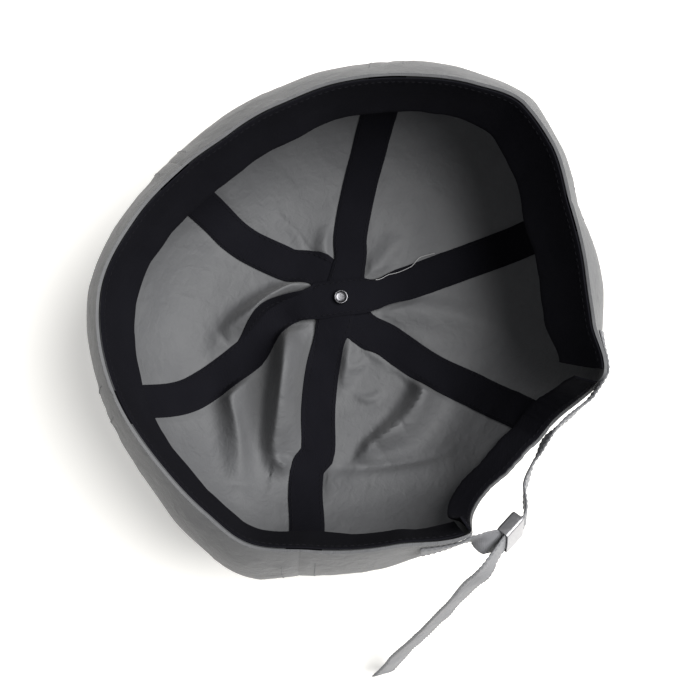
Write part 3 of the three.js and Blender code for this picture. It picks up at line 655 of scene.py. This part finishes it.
def woven(name, dark, light, thread, weave_depth, crumple, roughness, sheen, shine=0.3):
    """Woven cloth. Two crossing sets of threads raise the surface, worked out along the piece's
    own UV in millimetres; a slow noise shifts the colour between two tones, as dye and pressure
    do, and a middling one leaves shallow creases too small for the mesh."""
    material, tree, shader = start_material(name)
    place = add_node(tree, "ShaderNodeTexCoord")
    split = add_node(tree, "ShaderNodeSeparateXYZ", {0: place.outputs["UV"]})
    threads = []
    for axis in ("X", "Y"):
        turns = add_node(tree, "ShaderNodeMath", {0: split.outputs[axis], 1: 2 * math.pi / thread},
                         operation="MULTIPLY")
        threads.append(add_node(tree, "ShaderNodeMath", {0: turns.outputs[0]}, operation="SINE"))
    weave = add_node(tree, "ShaderNodeMath", {0: threads[0].outputs[0], 1: threads[1].outputs[0]},
                     operation="MULTIPLY")
    tone = add_node(tree, "ShaderNodeTexNoise",
                    {"Vector": place.outputs["Object"], "Scale": 1 / (TONE_SIZE * MM), "Detail": 4.0})
    colour = add_node(tree, "ShaderNodeMix",
                      {"Factor": tone.outputs["Fac"], 6: hex_linear(dark), 7: hex_linear(light)},
                      data_type="RGBA")
    creases = add_node(tree, "ShaderNodeTexNoise",
                       {"Vector": place.outputs["Object"], "Scale": 1 / (CREASE_SIZE * MM),
                        "Detail": 3.0, "Distortion": 0.6})
    soft = add_node(tree, "ShaderNodeBump", {"Height": creases.outputs["Fac"], "Distance": crumple * MM})
    fine = add_node(tree, "ShaderNodeBump",
                    {"Height": weave.outputs[0], "Distance": weave_depth * MM, "Normal": soft.outputs[0]})
    set_inputs(tree, shader, {"Base Color": colour.outputs[2], "Normal": fine.outputs[0],
                              "Roughness": roughness, "Sheen Weight": sheen, "Sheen Roughness": 0.4,
                              "Specular IOR Level": shine})
    return material


# Plain-woven nylon: fine even threads that the eye reads as one matte grey with a faint sheen.
# The real threads are about 0.2 mm apart, drawn at 0.7 mm so that they show.
nylon = woven("woven_nylon", "#56575a", "#666769", thread=0.7, weave_depth=0.03, crumple=0.5,
              roughness=0.62, sheen=0.12)

for panel in PANELS:
    azimuth, reach = panel_grid(panel["first"], panel["last"], panel.get("corner"))
    inner = over_cloth(azimuth, reach, np.zeros_like(reach))
    across = np.cumsum(np.linalg.norm(np.diff(inner, axis=1, prepend=inner[:, :1]), axis=-1), axis=1)
    from_edge = np.minimum(across, across[:, -1:] - across)
    thick = EDGE_CLOTH + (CLOTH - EDGE_CLOTH) * smooth_step(from_edge, 0, EDGE_ROLL)
    outer = over_cloth(azimuth, reach, -thick)
    outer[..., 2] = np.maximum(outer[..., 2], FLOOR_CLEAR)
    uv = np.stack([across - across[:, -1:] / 2, reach], -1)
    piece = sheet_wall(panel["node"] + "_cloth", inner, outer, uv)
    finish_piece(piece, nylon, panel["node"])

# The seam tapes: three bands of black cotton twill, sewn over the seams inside the crown with a
# row of stitches along each edge. Each goes from the hem down one seam, across the button and up
# the seam on the other side, so the three lie on each other at the button.
TAPE_WIDTH = 15.0
TAPE = 0.85
TAPE_DOME = 0.4
TAPE_RISE = 1.25
TAPE_CLEAR = 0.12
TAPE_THIN_ABOVE = 0.45
TAPE_THIN_BELOW = 0.2
TAPE_FLAT = 15.0
TAPE_DOWN = 31.0
TAPE_FROM_HEM = 9.5
TAPE_STATIONS = 170
TAPE_SIDES = 20
STITCH_FROM_EDGE = 1.3
STITCH_FROM_END = 1.0
STITCH_CLEAR = 0.02
STITCH_SAMPLES = 400
TAPES = [
    dict(node="seam_tape_front_back", first="front", last="back", layer=0, long=270),
    dict(node="seam_tape_left_right", first="left_front", last="right_back", layer=1, long=333),
    dict(node="seam_tape_right_left", first="right_front", last="left_back", layer=2, long=336),
]


def tape_ends(tape):
    """How far the tape reaches along its first seam, below zero, and along its last one."""
    return (TAPE_FROM_HEM - float(hem_reach(SEAMS[tape["first"]]["rim"])),
            float(hem_reach(SEAMS[tape["last"]]["rim"])) - TAPE_FROM_HEM)


def tape_place(tape, along, aside):
    """The direction and the reach of a place on a tape. The middle line is laid out on a flat
    plan, where each place keeps its own direction and its reach. aside is measured across it,
    widened there by reach over radius, because the plan spreads the wall."""
    reaches = np.arange(10.0, 190.0, 3.0)
    first = plan(seam_direction(tape["first"], reaches), reaches)
    last = plan(seam_direction(tape["last"], reaches), reaches)
    places = np.concatenate([-reaches[::-1], [0], reaches])
    line = np.concatenate([first[::-1], [[0, 0]], last])
    behind, middle, ahead = (curve_points(places, line, along + step) for step in (-1, 0, 1))
    heading = unit(ahead - behind)
    sideways = np.stack([-heading[..., 1], heading[..., 0]], -1)
    away = np.linalg.norm(middle, axis=-1)
    radius = look_up(table_radius, direction_of(middle), away)
    spread = np.where(away > 12, away / np.maximum(radius, 1), 1)
    place = middle + sideways * (aside * spread)[..., None]
    return direction_of(place), np.linalg.norm(place, axis=-1)


def tape_surface(tape, along, aside, height):
    """A place at a height over the tape's underside. It rises a little over the seam's folded
    edges in the middle, and near the button it lies on the tapes under it."""
    azimuth, reach = tape_place(tape, along, aside)
    dome = TAPE_DOME * (1 - (2 * aside / TAPE_WIDTH) ** 2)
    climb = tape["layer"] * TAPE_RISE * (1 - smooth_step(np.abs(along), TAPE_FLAT, TAPE_DOWN))
    return over_cloth(azimuth, reach, TAPE_CLEAR + dome + climb + height)


# Black cotton twill, matte, with a slightly blue tinge where the light catches it
twill = woven("black_cotton_twill", "#0f0f14", "#15151a", thread=0.9, weave_depth=0.05, crumple=0.3,
              roughness=0.95, sheen=0.0, shine=0.08)


def spun(name, dark, light, roughness, shine=0.3):
    """Sewing thread: the same crossing pattern, as fine as the thread's own twist."""
    return woven(name, dark, light, thread=0.3, weave_depth=0.02, crumple=0.0, roughness=roughness,
                 sheen=0.0, shine=shine)


# Black polyester sewing thread, a little smoother than the twill
black_thread = spun("black_sewing_thread", "#121216", "#18181c", roughness=0.8, shine=0.1)
# Grey polyester sewing thread, a little lighter than the nylon
grey_thread = spun("grey_sewing_thread", "#646569", "#6c6d71", roughness=0.5)

for tape in TAPES:
    low, high = tape_ends(tape)
    along, aside = np.meshgrid(np.linspace(low, high, TAPE_STATIONS),
                               np.linspace(-0.5, 0.5, TAPE_SIDES) * TAPE_WIDTH, indexing="ij")
    edge = (2 * np.abs(aside) / TAPE_WIDTH) ** 10
    upper = tape_surface(tape, along, aside, TAPE * (1 - TAPE_THIN_ABOVE * edge))
    lower = tape_surface(tape, along, aside, TAPE_THIN_BELOW * TAPE * edge)
    piece = sheet_wall(tape["node"] + "_twill", upper, lower, np.stack([aside, along], -1))
    finish_piece(piece, twill, tape["node"])
    along = np.linspace(low + STITCH_FROM_END, high - STITCH_FROM_END, STITCH_SAMPLES)
    lines, ups = [], []
    for side in (-1, 1):
        aside = np.full_like(along, side * (TAPE_WIDTH / 2 - STITCH_FROM_EDGE))
        lines.append(tape_surface(tape, along, aside, TAPE + STITCH_CLEAR))
        ups.append(tape_surface(tape, along, aside, TAPE + 1) - lines[-1])
    sewn = stitches(tape["node"] + "_stitches", lines, ups)
    finish_piece(sewn, black_thread, None)

# A frayed end of undyed thread, about 30 mm long, lies loose along the edge of one tape near the
# button. along and aside: its way over the tape. height: how far it stands off.
FRAYED_THREAD = table(
    "along aside height",
    (16, 7.6, 1.1),
    (22, 6.6, 1.4),
    (28, 5.8, 1.5),
    (34, 6.2, 2.2),
    (40, 8.8, 1.6),
    (46, 8.2, 1.8),
)
FRAYED_RADIUS = 0.14
FRAYED_SIDES = 8
FRAYED_STEPS = 70
shares = np.arange(len(FRAYED_THREAD))
at = np.linspace(0, shares[-1], FRAYED_STEPS)
along, aside, height = (curve_through(shares, column(FRAYED_THREAD, name), at)
                        for name in ("along", "aside", "height"))
line = tape_surface(TAPES[2], along, aside, height)
heading = unit(np.gradient(line, axis=0))
beside = unit(np.cross(heading, [0, 0, 1.0]))
above = np.cross(beside, heading)
turn = np.linspace(0, 2 * math.pi, FRAYED_SIDES, endpoint=False)[None, :, None]
rings = line[:, None] + FRAYED_RADIUS * (np.cos(turn) * beside[:, None] + np.sin(turn) * above[:, None])
frayed = tube("frayed_thread", rings, np.zeros((FRAYED_STEPS, FRAYED_SIDES, 2)), 180)
# Undyed thread, lighter than the sewing threads
undyed_thread = spun("undyed_thread", "#9a9a9c", "#a8a8aa", roughness=0.6)
finish_piece(frayed, undyed_thread, None)

# The same two rows of stitches come out on the crown's outer side, in grey thread, on each side of
# every seam and up to the button
OUTER_SAMPLES = 260
OUTER_FROM_BUTTON = 9.0
OUTER_FROM_FLOOR = 0.12
lines, ups = [], []
for tape in TAPES:
    low, high = tape_ends(tape)
    spans = ((low + STITCH_FROM_END, -OUTER_FROM_BUTTON), (OUTER_FROM_BUTTON, high - STITCH_FROM_END))
    for start, end in spans:
        for side in (-1, 1):
            along = np.linspace(start, end, OUTER_SAMPLES)
            aside = np.full_like(along, side * (TAPE_WIDTH / 2 - STITCH_FROM_EDGE))
            place = tape_place(tape, along, aside)
            points = over_cloth(*place, -CLOTH - STITCH_CLEAR)
            points[:, 2] = np.maximum(points[:, 2], OUTER_FROM_FLOOR)
            lines.append(points)
            ups.append(over_cloth(*place, -CLOTH - 1) - over_cloth(*place, -CLOTH))
finish_piece(stitches("crown_outer_stitches", lines, ups), grey_thread, None)

# The sweatband: a folded band of black cotton, sewn to the inside of the rim by its upper edge
# with one row of stitches. Its lower edge is free and leans in, with slow waves.
BAND_DROP = 29.0
BAND = 1.2
BAND_FROM_RIM = 0.2
BAND_BELOW_RIM = 0.5
BAND_THIN_INSIDE = 0.35
BAND_THIN_OUTSIDE = 0.3
BAND_BULGE = 0.12
BAND_WAVE = 0.9
BAND_RIPPLE = 0.25
BAND_UNEVEN = 0.4
BAND_STITCH = 2.2
BAND_STITCH_CLEAR = 0.03
BAND_STITCH_SAMPLES = 1500
BAND_RADIUS = 90.0
BAND_STOP = 2.4
BAND_ROWS = 26
BAND_COLUMNS = 520
band_first = arch_left + math.degrees(BAND_STOP / np.linalg.norm(LEFT_CORNER))
band_last = arch_right + 360 - math.degrees(BAND_STOP / np.linalg.norm(RIGHT_CORNER))


def band_surface(azimuth, down, inset):
    """A place on the band, down from its upper edge (0) to its free one (1), so far in from its
    outer face. Slow waves grow towards the free edge."""
    rim, top, lean = (section(azimuth, name) for name in ("rim", "top", "band"))
    face = plan(azimuth, rim)
    level = np.concatenate([face, np.zeros_like(face[..., :1])], -1)
    wave = BAND_WAVE * down ** 1.5 * drift(level, 21.0, 4.4) + BAND_RIPPLE * down * drift(level, 7.0, 2.2)
    leaning = lean * down - BAND_BULGE * lean * np.sin(np.pi * down)
    radius = rim - BAND_FROM_RIM - inset - leaning - np.abs(wave)
    height = top - BAND_BELOW_RIM - BAND_DROP * down + BAND_UNEVEN * down * drift(level, 30.0, 7.1)
    return np.concatenate([plan(azimuth, radius), height[..., None]], -1)


down, azimuth = np.meshgrid(np.linspace(0, 1, BAND_ROWS),
                            np.linspace(band_first, band_last, BAND_COLUMNS), indexing="ij")
round_edge = (2 * np.abs(down - 0.5)) ** 24
inner = band_surface(azimuth, down, BAND * (1 - BAND_THIN_INSIDE * round_edge))
outer = band_surface(azimuth, down, BAND * BAND_THIN_OUTSIDE * round_edge)
uv = np.stack([np.radians(azimuth) * BAND_RADIUS, down * BAND_DROP], -1)
band = sheet_wall("sweatband_cotton", inner, outer, uv)
finish_piece(band, twill, "sweatband")
azimuth = np.linspace(band_first + 1, band_last - 1, BAND_STITCH_SAMPLES)
line = band_surface(azimuth, np.full_like(azimuth, BAND_STITCH / BAND_DROP), BAND + BAND_STITCH_CLEAR)
up = np.concatenate([-plan(azimuth, 1.0), np.zeros((len(azimuth), 1))], -1)
sewn = stitches("sweatband_stitches", [line], [up])
finish_piece(sewn, black_thread, None)

# The arch's facing: a strip of black cotton sewn along the cut hem with one row of stitches and
# turned inside, so that its other edge stands off the cloth.
FACING = 0.9
FACING_THIN = 0.4
FACING_WIDE = 14.0
FACING_FROM_HEM = 0.4
FACING_CLEAR = 0.25
FACING_RIPPLE = 0.5
FACING_ROWS = 14
FACING_COLUMNS = 190
HEM_LONG = 150.0
HEM_SAMPLES = 3000

# along: the share of the hem's own length from the left corner to the right one. right, inwards
# and down: where the free edge lies from the hem.
FACING_EDGE = table(
    "along right inwards down",
    (0.045, 2, 8, 8),
    (0.1, 2.5, 9.5, 9.5),
    (0.3, 0, 9.8, 10.6),
    (0.44, 1, 9.8, 10.4),
    (0.57, 3.5, 9.4, 10),
    (0.65, 4.8, 8.4, 8),
    (0.72, 4.6, 7.4, 3.4),
    (0.77, 2.6, 7.2, 1.6),
    (0.82, 0, 7, 1),
    (0.9, -1.2, 6.8, 0.6),
    (0.985, -2.4, 6.4, 0.4),
)


def hem_points(azimuth):
    """The places of the arch's facing along the hem, on the cloth's inner face."""
    return over_cloth(azimuth, hem_reach(azimuth) - FACING_FROM_HEM, np.full_like(azimuth, FACING_CLEAR))


places = column(FACING_EDGE, "along")
turns = direction_of(LEFT_CORNER + np.linspace(0, 1, HEM_SAMPLES)[:, None] * (RIGHT_CORNER - LEFT_CORNER))
walked = walked_along(hem_points(turns))
share = np.linspace(places[0], places[-1], FACING_COLUMNS)
hem = hem_points(np.interp(share, walked / walked[-1], turns))
reach_out = np.stack([curve_through(places, sign * column(FACING_EDGE, name), share)
                      for name, sign in (("right", 1), ("inwards", -1), ("down", -1))], -1)
across = np.linspace(0, 1, FACING_ROWS)[:, None, None]
face = hem[None] + across * reach_out[None]
ripple = FACING_RIPPLE * drift(face, 14.0, 6.6) * across[..., 0]
facing_normal = unit(np.cross(np.gradient(hem, axis=0), reach_out))[None]
facing_normal = facing_normal * -np.sign(facing_normal[0, FACING_COLUMNS // 2, 1])
thick = FACING * (1 - FACING_THIN * (2 * np.abs(across[..., 0] - 0.5)) ** 16)
front = face + facing_normal * (ripple + thick)[..., None]
back = face + facing_normal * ripple[..., None]
uv = np.stack(np.broadcast_arrays(share[None] * HEM_LONG, across[..., 0] * FACING_WIDE), -1)
facing = sheet_wall("arch_facing_cotton", front, back, uv)
finish_piece(facing, twill, "arch_binding")
line = front[1] * 0.6 + front[2] * 0.4
sewn = stitches("arch_facing_stitches", [line], [facing_normal[0]])
finish_piece(sewn, black_thread, None)

# The straps: grey polyester tape, folded and stitched along both edges. The long one is sewn to
# the outside of the rim at the wearer's left corner, goes through the buckle and hangs down almost
# to the floor. The short one, sewn to the right corner, holds the buckle.
STRAP_WIDTH = 12.0
STRAP = 1.15
STRAP_GIRTH = 26.0
STRAP_AROUND = 28
STRAP_STEP = 0.6
STRAP_STITCHED = (3, 11, 17, 25)
STRAP_WIDE_POWER = 0.55
STRAP_DEEP_POWER = 0.8
FREE_FROM_TAB = (1, 9)
FREE_FROM_SLEEVE = (6, 13)
STRAP_CRUMPLE = 0.4
STRAP_CREASE = 0.15
STRAP_CUP = 0.6
STRAP_NARROW = 0.05
TAB_HEIGHT = 86.0
TAB_CLEAR = 0.15
TAB_REACH = 100.0
LONG_TAB = (201.5, 198.5, 195.5, arch_left + 0.8)
SHORT_TAB = (140, 142.6, 145.2, 147.8)
SLEEVE_CENTRE = np.array([45.95, 111.3, 80.0])
SLEEVE_THROUGH = unit(np.array([0.925, -0.169, 0.339]))
SLEEVE_LENGTH = 10.0
SLEEVE_WALL = 0.7
SLEEVE_SLOT = 1.8
REAR_SLOT = -(SLEEVE_SLOT + SLEEVE_WALL)
sleeve_across = np.array([0.378, 0.315, -0.87])
sleeve_across = unit(sleeve_across - SLEEVE_THROUGH * (sleeve_across @ SLEEVE_THROUGH))
sleeve_out = np.cross(SLEEVE_THROUGH, sleeve_across)

# at: a point of the strap's middle line. across: the way its width faces there.
STRAP_TO_SLEEVE = table(
    "at across",
    ((-15.5, 107.2, 85.5), (0, 0, -1)),
    ((-8.5, 105.6, 84.5), (0, 0.1, -1)),
    ((-2, 104, 83), (0.1, 0.15, -1)),
    ((9, 102.2, 80), (0.15, -0.1, -0.95)),
    ((18, 102.8, 77.4), (0.2, 0.1, -0.95)),
    ((27.5, 105.6, 75.2), (0.25, 0.25, -0.9)),
)
LOOSE_END = table(
    "at across",
    ((59.6, 110, 83), (0.3, 0.35, -0.9)),
    ((65.4, 110.3, 80), (0.05, 0.45, -0.85)),
    ((72, 109.3, 73.3), (-0.2, 0.5, -0.8)),
    ((84, 108.6, 58.5), (-0.4, 0.45, -0.8)),
    ((98.6, 107.3, 39), (-0.4, 0.5, -0.8)),
    ((112.7, 105.7, 21), (-0.4, 0.5, -0.8)),
    ((123.5, 105, 7.6), (-0.35, 0.5, -0.8)),
)
SHORT_ROUTE = table(
    "at across",
    ((56.2, 99.2, 86), (0.2, 0.1, -1)),
    ((54.8, 102.2, 85.4), (0.6, 0.2, -0.75)),
    ((53.6, 105.2, 84), (0.8, 0.3, -0.6)),
)


def tab_rows(azimuths):
    """Rows for a strap's sewn end, which lies along the outside of the rim, in these directions.
    Its distance from the button is looked up where the cloth is beyond the tab's reach."""
    first = int(TAB_REACH / TABLE_REACH)
    rows = []
    for azimuth in azimuths:
        edges = []
        for height in (TAB_HEIGHT + STRAP_WIDTH / 2, TAB_HEIGHT - STRAP_WIDTH / 2):
            i = int(round(azimuth / TABLE_TURN))
            radius = np.interp(height, table_height[i, first:], table_radius[i, first:])
            edges.append([*plan(azimuth, radius + CLOTH + TAB_CLEAR + STRAP / 2), height])
        upper, lower = np.array(edges)
        rows.append(dict(at=(upper + lower) / 2, across=unit(lower - upper)))
    return rows


def sleeve_rows(throughs, slot):
    """Rows for the stretch inside the sleeve, in one of its slots."""
    return [dict(at=SLEEVE_CENTRE + SLEEVE_THROUGH * t + sleeve_out * slot, across=sleeve_across)
            for t in throughs]


def strap_frames(rows):
    """The strap's middle line at even steps, with the way its width faces and its outer side."""
    chord = walked_along(column(rows, "at"))
    s = np.linspace(0, chord[-1], int(chord[-1] / STRAP_STEP))
    centre, across = (curve_points(chord, column(rows, name), s) for name in ("at", "across"))
    heading = unit(np.gradient(centre, axis=0))
    across = unit(across - heading * (across * heading).sum(-1, keepdims=True))
    return s, centre, across, np.cross(heading, across)


def strap_piece(name, rows, node):
    """A strap with rounded folded edges. Crumples of its flat face grow along the parts that
    hang free, between its sewn end and the sleeve and beyond it, and it is stitched along both
    edges on both faces."""
    s, centre, across, out = strap_frames(rows)
    sewn = walked_along(column(rows[:4], "at"))[-1]
    turn = np.linspace(0, 2 * math.pi, STRAP_AROUND, endpoint=False)
    wide = np.sign(np.cos(turn)) * np.abs(np.cos(turn)) ** STRAP_WIDE_POWER
    deep = np.sign(np.sin(turn)) * np.abs(np.sin(turn)) ** STRAP_DEEP_POWER
    from_sleeve = np.linalg.norm(centre - SLEEVE_CENTRE, axis=-1)
    free = smooth_step(s - sewn, *FREE_FROM_TAB) * smooth_step(from_sleeve, *FREE_FROM_SLEEVE)
    place = np.stack(np.broadcast_arrays(s[:, None], wide[None] * STRAP_WIDTH / 2, 0), -1)
    free = free[:, None]
    crumple = free * (STRAP_CRUMPLE * drift(place, 9.0, 3.3) + STRAP_CREASE * drift(place, 3.5, 8.1))
    cup = free * STRAP_CUP * (wide ** 2 - 0.5)[None] * drift(place, 30.0, 2.7)
    narrow = 1 - STRAP_NARROW * free * np.abs(drift(place, 16.0, 5.9))
    rings = (centre[:, None] + across[:, None] * (wide[None] * narrow * STRAP_WIDTH / 2)[..., None]
             + out[:, None] * (deep[None] * STRAP / 2 + crumple + cup)[..., None])
    round_it = np.arange(1, STRAP_AROUND + 1) * (STRAP_GIRTH / STRAP_AROUND)
    piece = tube(name, rings, np.stack(np.broadcast_arrays(s[:, None], round_it[None]), -1), 60)
    finish_piece(piece, webbing, node)
    ups = [out * np.sign(deep[k]) for k in STRAP_STITCHED]
    lines = [rings[:, k] + up * STITCH_CLEAR for k, up in zip(STRAP_STITCHED, ups)]
    sewn = stitches(name + "_stitches", lines, ups, length=2.2, thread=0.3)
    finish_piece(sewn, strap_thread, None)


# Grey polyester webbing with a faint rib, lighter than the crown
webbing = woven("grey_polyester_webbing", "#76777b", "#838488", thread=0.8, weave_depth=0.08, crumple=0.5,
                roughness=0.6, sheen=0.1)
# Grey sewing thread, matched to the webbing
strap_thread = spun("strap_sewing_thread", "#6c6d71", "#76777b", roughness=0.5)

long_rows = tab_rows(LONG_TAB) + STRAP_TO_SLEEVE + sleeve_rows([-6.5, -1.5, 1.5, 6.5], 0) + LOOSE_END
short_rows = tab_rows(SHORT_TAB) + SHORT_ROUTE + sleeve_rows([6.5, 0], REAR_SLOT)
strap_piece("strap_long_webbing", long_rows, "strap_long")
strap_piece("strap_short_webbing", short_rows, "strap_short")

# The buckle: a flat sleeve folded from one strip of sheet metal with a bright finish. The strip
# starts as the wall between its two slots and goes round the front slot, then the rear one.
SLEEVE_BEND = 0.9
SLEEVE_PLAY = 0.8
LIP_ROWS = 11
LIP_THIN = 0.5
half_wide = (STRAP_WIDTH + SLEEVE_PLAY + SLEEVE_WALL) / 2
front_wall = (SLEEVE_SLOT + SLEEVE_WALL) / 2
rear_wall = front_wall + SLEEVE_SLOT + SLEEVE_WALL
SLEEVE_FOLDS = table(
    "across out",
    (-half_wide + SLEEVE_WALL, -front_wall),
    (half_wide, -front_wall),
    (half_wide, front_wall),
    (-half_wide, front_wall),
    (-half_wide, -rear_wall),
    (half_wide, -rear_wall),
    (half_wide, -front_wall - SLEEVE_WALL),
)


def rounded_path(corners, bend, steps=6):
    """A path along straight lines between corners, with each corner cut by a round bend."""
    path = [corners[0]]
    for before, corner, after in zip(corners[:-2], corners[1:-1], corners[2:]):
        a, b = corner + unit(before - corner) * bend, corner + unit(after - corner) * bend
        t = np.linspace(0, 1, steps)[:, None]
        path.extend((1 - t) ** 2 * a + 2 * t * (1 - t) * corner + t * t * b)
    return np.array([*path, corners[-1]])


corners = np.stack([column(SLEEVE_FOLDS, "across"), column(SLEEVE_FOLDS, "out")], -1)
path = rounded_path(corners, SLEEVE_BEND)
ahead = unit(np.gradient(path, axis=0))
wall_normal = np.stack([-ahead[:, 1], ahead[:, 0]], -1)
lip = np.linspace(-1, 1, LIP_ROWS)
thin = 1 - LIP_THIN * np.abs(lip) ** 12


def sleeve_points(side):
    """One face of the folded strip, at half its thickness to one side, with its ends eased."""
    flat = path[None] + wall_normal[None] * (side * SLEEVE_WALL / 2 * thin)[:, None, None]
    return (SLEEVE_CENTRE + SLEEVE_THROUGH * (lip * SLEEVE_LENGTH / 2)[:, None, None]
            + sleeve_across * flat[..., :1] + sleeve_out * flat[..., 1:])


# The size of the finish's grains, and how deep its dents are for their unevenness
GRAIN_SIZE = 1.11
DENT_DEPTH = 0.4


def metal(name, colour, roughness, uneven):
    """Polished sheet metal: mostly smooth, its roughness varied a little by a fine noise."""
    material, tree, shader = start_material(name)
    place = add_node(tree, "ShaderNodeTexCoord")
    grain = add_node(tree, "ShaderNodeTexNoise",
                     {"Vector": place.outputs["Object"], "Scale": 1 / (GRAIN_SIZE * MM), "Detail": 4.0})
    spread = add_node(tree, "ShaderNodeMapRange", {"Value": grain.outputs["Fac"],
                                                   "To Min": roughness - uneven,
                                                   "To Max": roughness + uneven})
    dents = add_node(tree, "ShaderNodeBump",
                     {"Height": grain.outputs["Fac"], "Distance": uneven * DENT_DEPTH * MM})
    set_inputs(tree, shader, {"Base Color": hex_linear(colour), "Metallic": 1.0,
                              "Roughness": spread.outputs[0], "Normal": dents.outputs[0]})
    return material


# Nickel-plated steel, slightly worn
nickel = metal("nickel_plated_steel", "#a6a6aa", roughness=0.36, uneven=0.14)
uv = np.stack(np.broadcast_arrays((lip * SLEEVE_LENGTH / 2)[:, None], np.arange(len(path))[None]), -1)
sleeve = sheet_wall("buckle_sleeve", sleeve_points(1), sleeve_points(-1), uv, 40)
finish_piece(sleeve, nickel, "buckle")

# The button: a domed metal blank covered in the crown's nylon, outside the crown's point and so
# under the cap, with its shank through the cloth. The rivet's end closes it inside: a small
# dished disc with a rolled rim.
TURNED_SIDES = 72
TURNED_STEPS = 60
BUTTON_GATHERS = 24
GATHER_WIDTH = 2.2
BUTTON_EDGE = 5
BUTTON_RADIUS = 5.0

# radius and height of each point of the outline, from the middle outwards and back
BUTTON_OUTLINE = table(
    "radius height",
    (0.0, 0.0), (2.5, 0.0), (4.6, 0.35), (6.2, 1.2), (6.9, 2.1), (6.7, 2.9),
    (5.6, 3.45), (3.4, 3.55), (1.4, 3.5), (1.35, 6.0), (1.3, 9.4), (0.0, 9.4),
)
RIVET_OUTLINE = table(
    "radius height",
    (0.0, 10.05), (2.8, 10.05), (3.05, 10.3), (3.1, 10.9), (2.95, 11.35),
    (2.6, 11.5), (2.3, 11.3), (2.1, 10.85), (1.4, 10.65), (0.0, 10.6),
)


def turned(name, outline, pucker=0.0):
    """A solid of revolution through an outline, resampled finely. The pucker draws the cloth of
    a covered button into small gathers round its edge."""
    radius, height = column(outline, "radius"), column(outline, "height")
    walked = walked_along(np.stack([radius, height], -1))
    at = np.unique(np.concatenate([np.linspace(0, walked[-1], TURNED_STEPS), walked]))
    radius, height = curve_through(walked, radius, at), curve_through(walked, height, at)
    turn = np.linspace(0, 2 * math.pi, TURNED_SIDES, endpoint=False)
    at_edge = np.exp(-((at - walked[BUTTON_EDGE]) / GATHER_WIDTH) ** 2)
    wide = radius[:, None] + pucker * np.cos(BUTTON_GATHERS * turn)[None] * at_edge[:, None]
    wide = np.where(radius[:, None] < 1e-6, 0, wide)
    rings = np.stack(np.broadcast_arrays(wide * np.cos(turn), wide * np.sin(turn), height[:, None]), -1)
    uv = np.stack(np.broadcast_arrays(at[:, None], (turn * BUTTON_RADIUS)[None]), -1)
    return make_mesh(name, rings, ring_quads(len(at), TURNED_SIDES), uv, 60)


finish_piece(turned("top_button_covered", BUTTON_OUTLINE, pucker=0.12), nylon, "top_button")
# Tinned steel, duller than the buckle
tin = metal("tinned_steel", "#6f6f73", roughness=0.36, uneven=0.2)
finish_piece(turned("button_rivet_end", RIVET_OUTLINE), tin, "button_rivet")

# The floor and the light: a plain pale sweep, a large soft window on the picture's right, high
# up, and weak even light from all round.
FLOOR_SIZE = 8000.0
FLOOR_GLOW = 0.38
LIGHT_ELEVATION = 61.0
LIGHT_TURN = 8.0
LIGHT_DISTANCE = 1.9
LIGHT_SIZE = 1.5
LIGHT_POWER = 65.0
ROOM_LIGHT = 0.26
floor_corners = np.array([[-1, -1, 0], [1, -1, 0], [1, 1, 0], [-1, 1, 0]]) * FLOOR_SIZE / 2
floor = make_mesh("floor", floor_corners, np.array([[0, 1, 2, 3]]), np.zeros((4, 2)))
# Matte painted board, lit a little from inside so that it comes out almost white
paint, tree, shader = start_material("pale_sweep")
set_inputs(tree, shader, {"Base Color": hex_linear("#f2f1ee"), "Roughness": 0.9,
                          "Specular IOR Level": 0.1, "Emission Color": hex_linear("#fffefb"),
                          "Emission Strength": FLOOR_GLOW})
floor.data.materials.append(paint)

lamp = bpy.data.objects.new("window", bpy.data.lights.new("window", "AREA"))
lamp.data.shape = "DISK"
lamp.data.size = LIGHT_SIZE
lamp.data.energy = LIGHT_POWER
lamp.data.color = (1.0, 0.99, 0.97)
lift = math.radians(LIGHT_ELEVATION)
aside = math.radians(LIGHT_TURN)
level_up = np.array([-camera_right[1], camera_right[0], 0])
lamp_level = camera_right * math.cos(aside) + level_up * math.sin(aside)
lamp_way = lamp_level * math.cos(lift) + np.array([0, 0, math.sin(lift)])
lamp_side = unit(np.cross([0, 0, 1], lamp_way))
put_in_scene(lamp, lamp_side, np.cross(lamp_way, lamp_side), lamp_way, lamp_way * LIGHT_DISTANCE)
world = bpy.data.worlds.new("room")
world.use_nodes = True
set_inputs(world.node_tree, world.node_tree.nodes["Background"],
           {"Color": (1, 1, 1, 1), "Strength": ROOM_LIGHT})
bpy.context.scene.world = world
bpy.context.scene.view_settings.view_transform = "Standard"
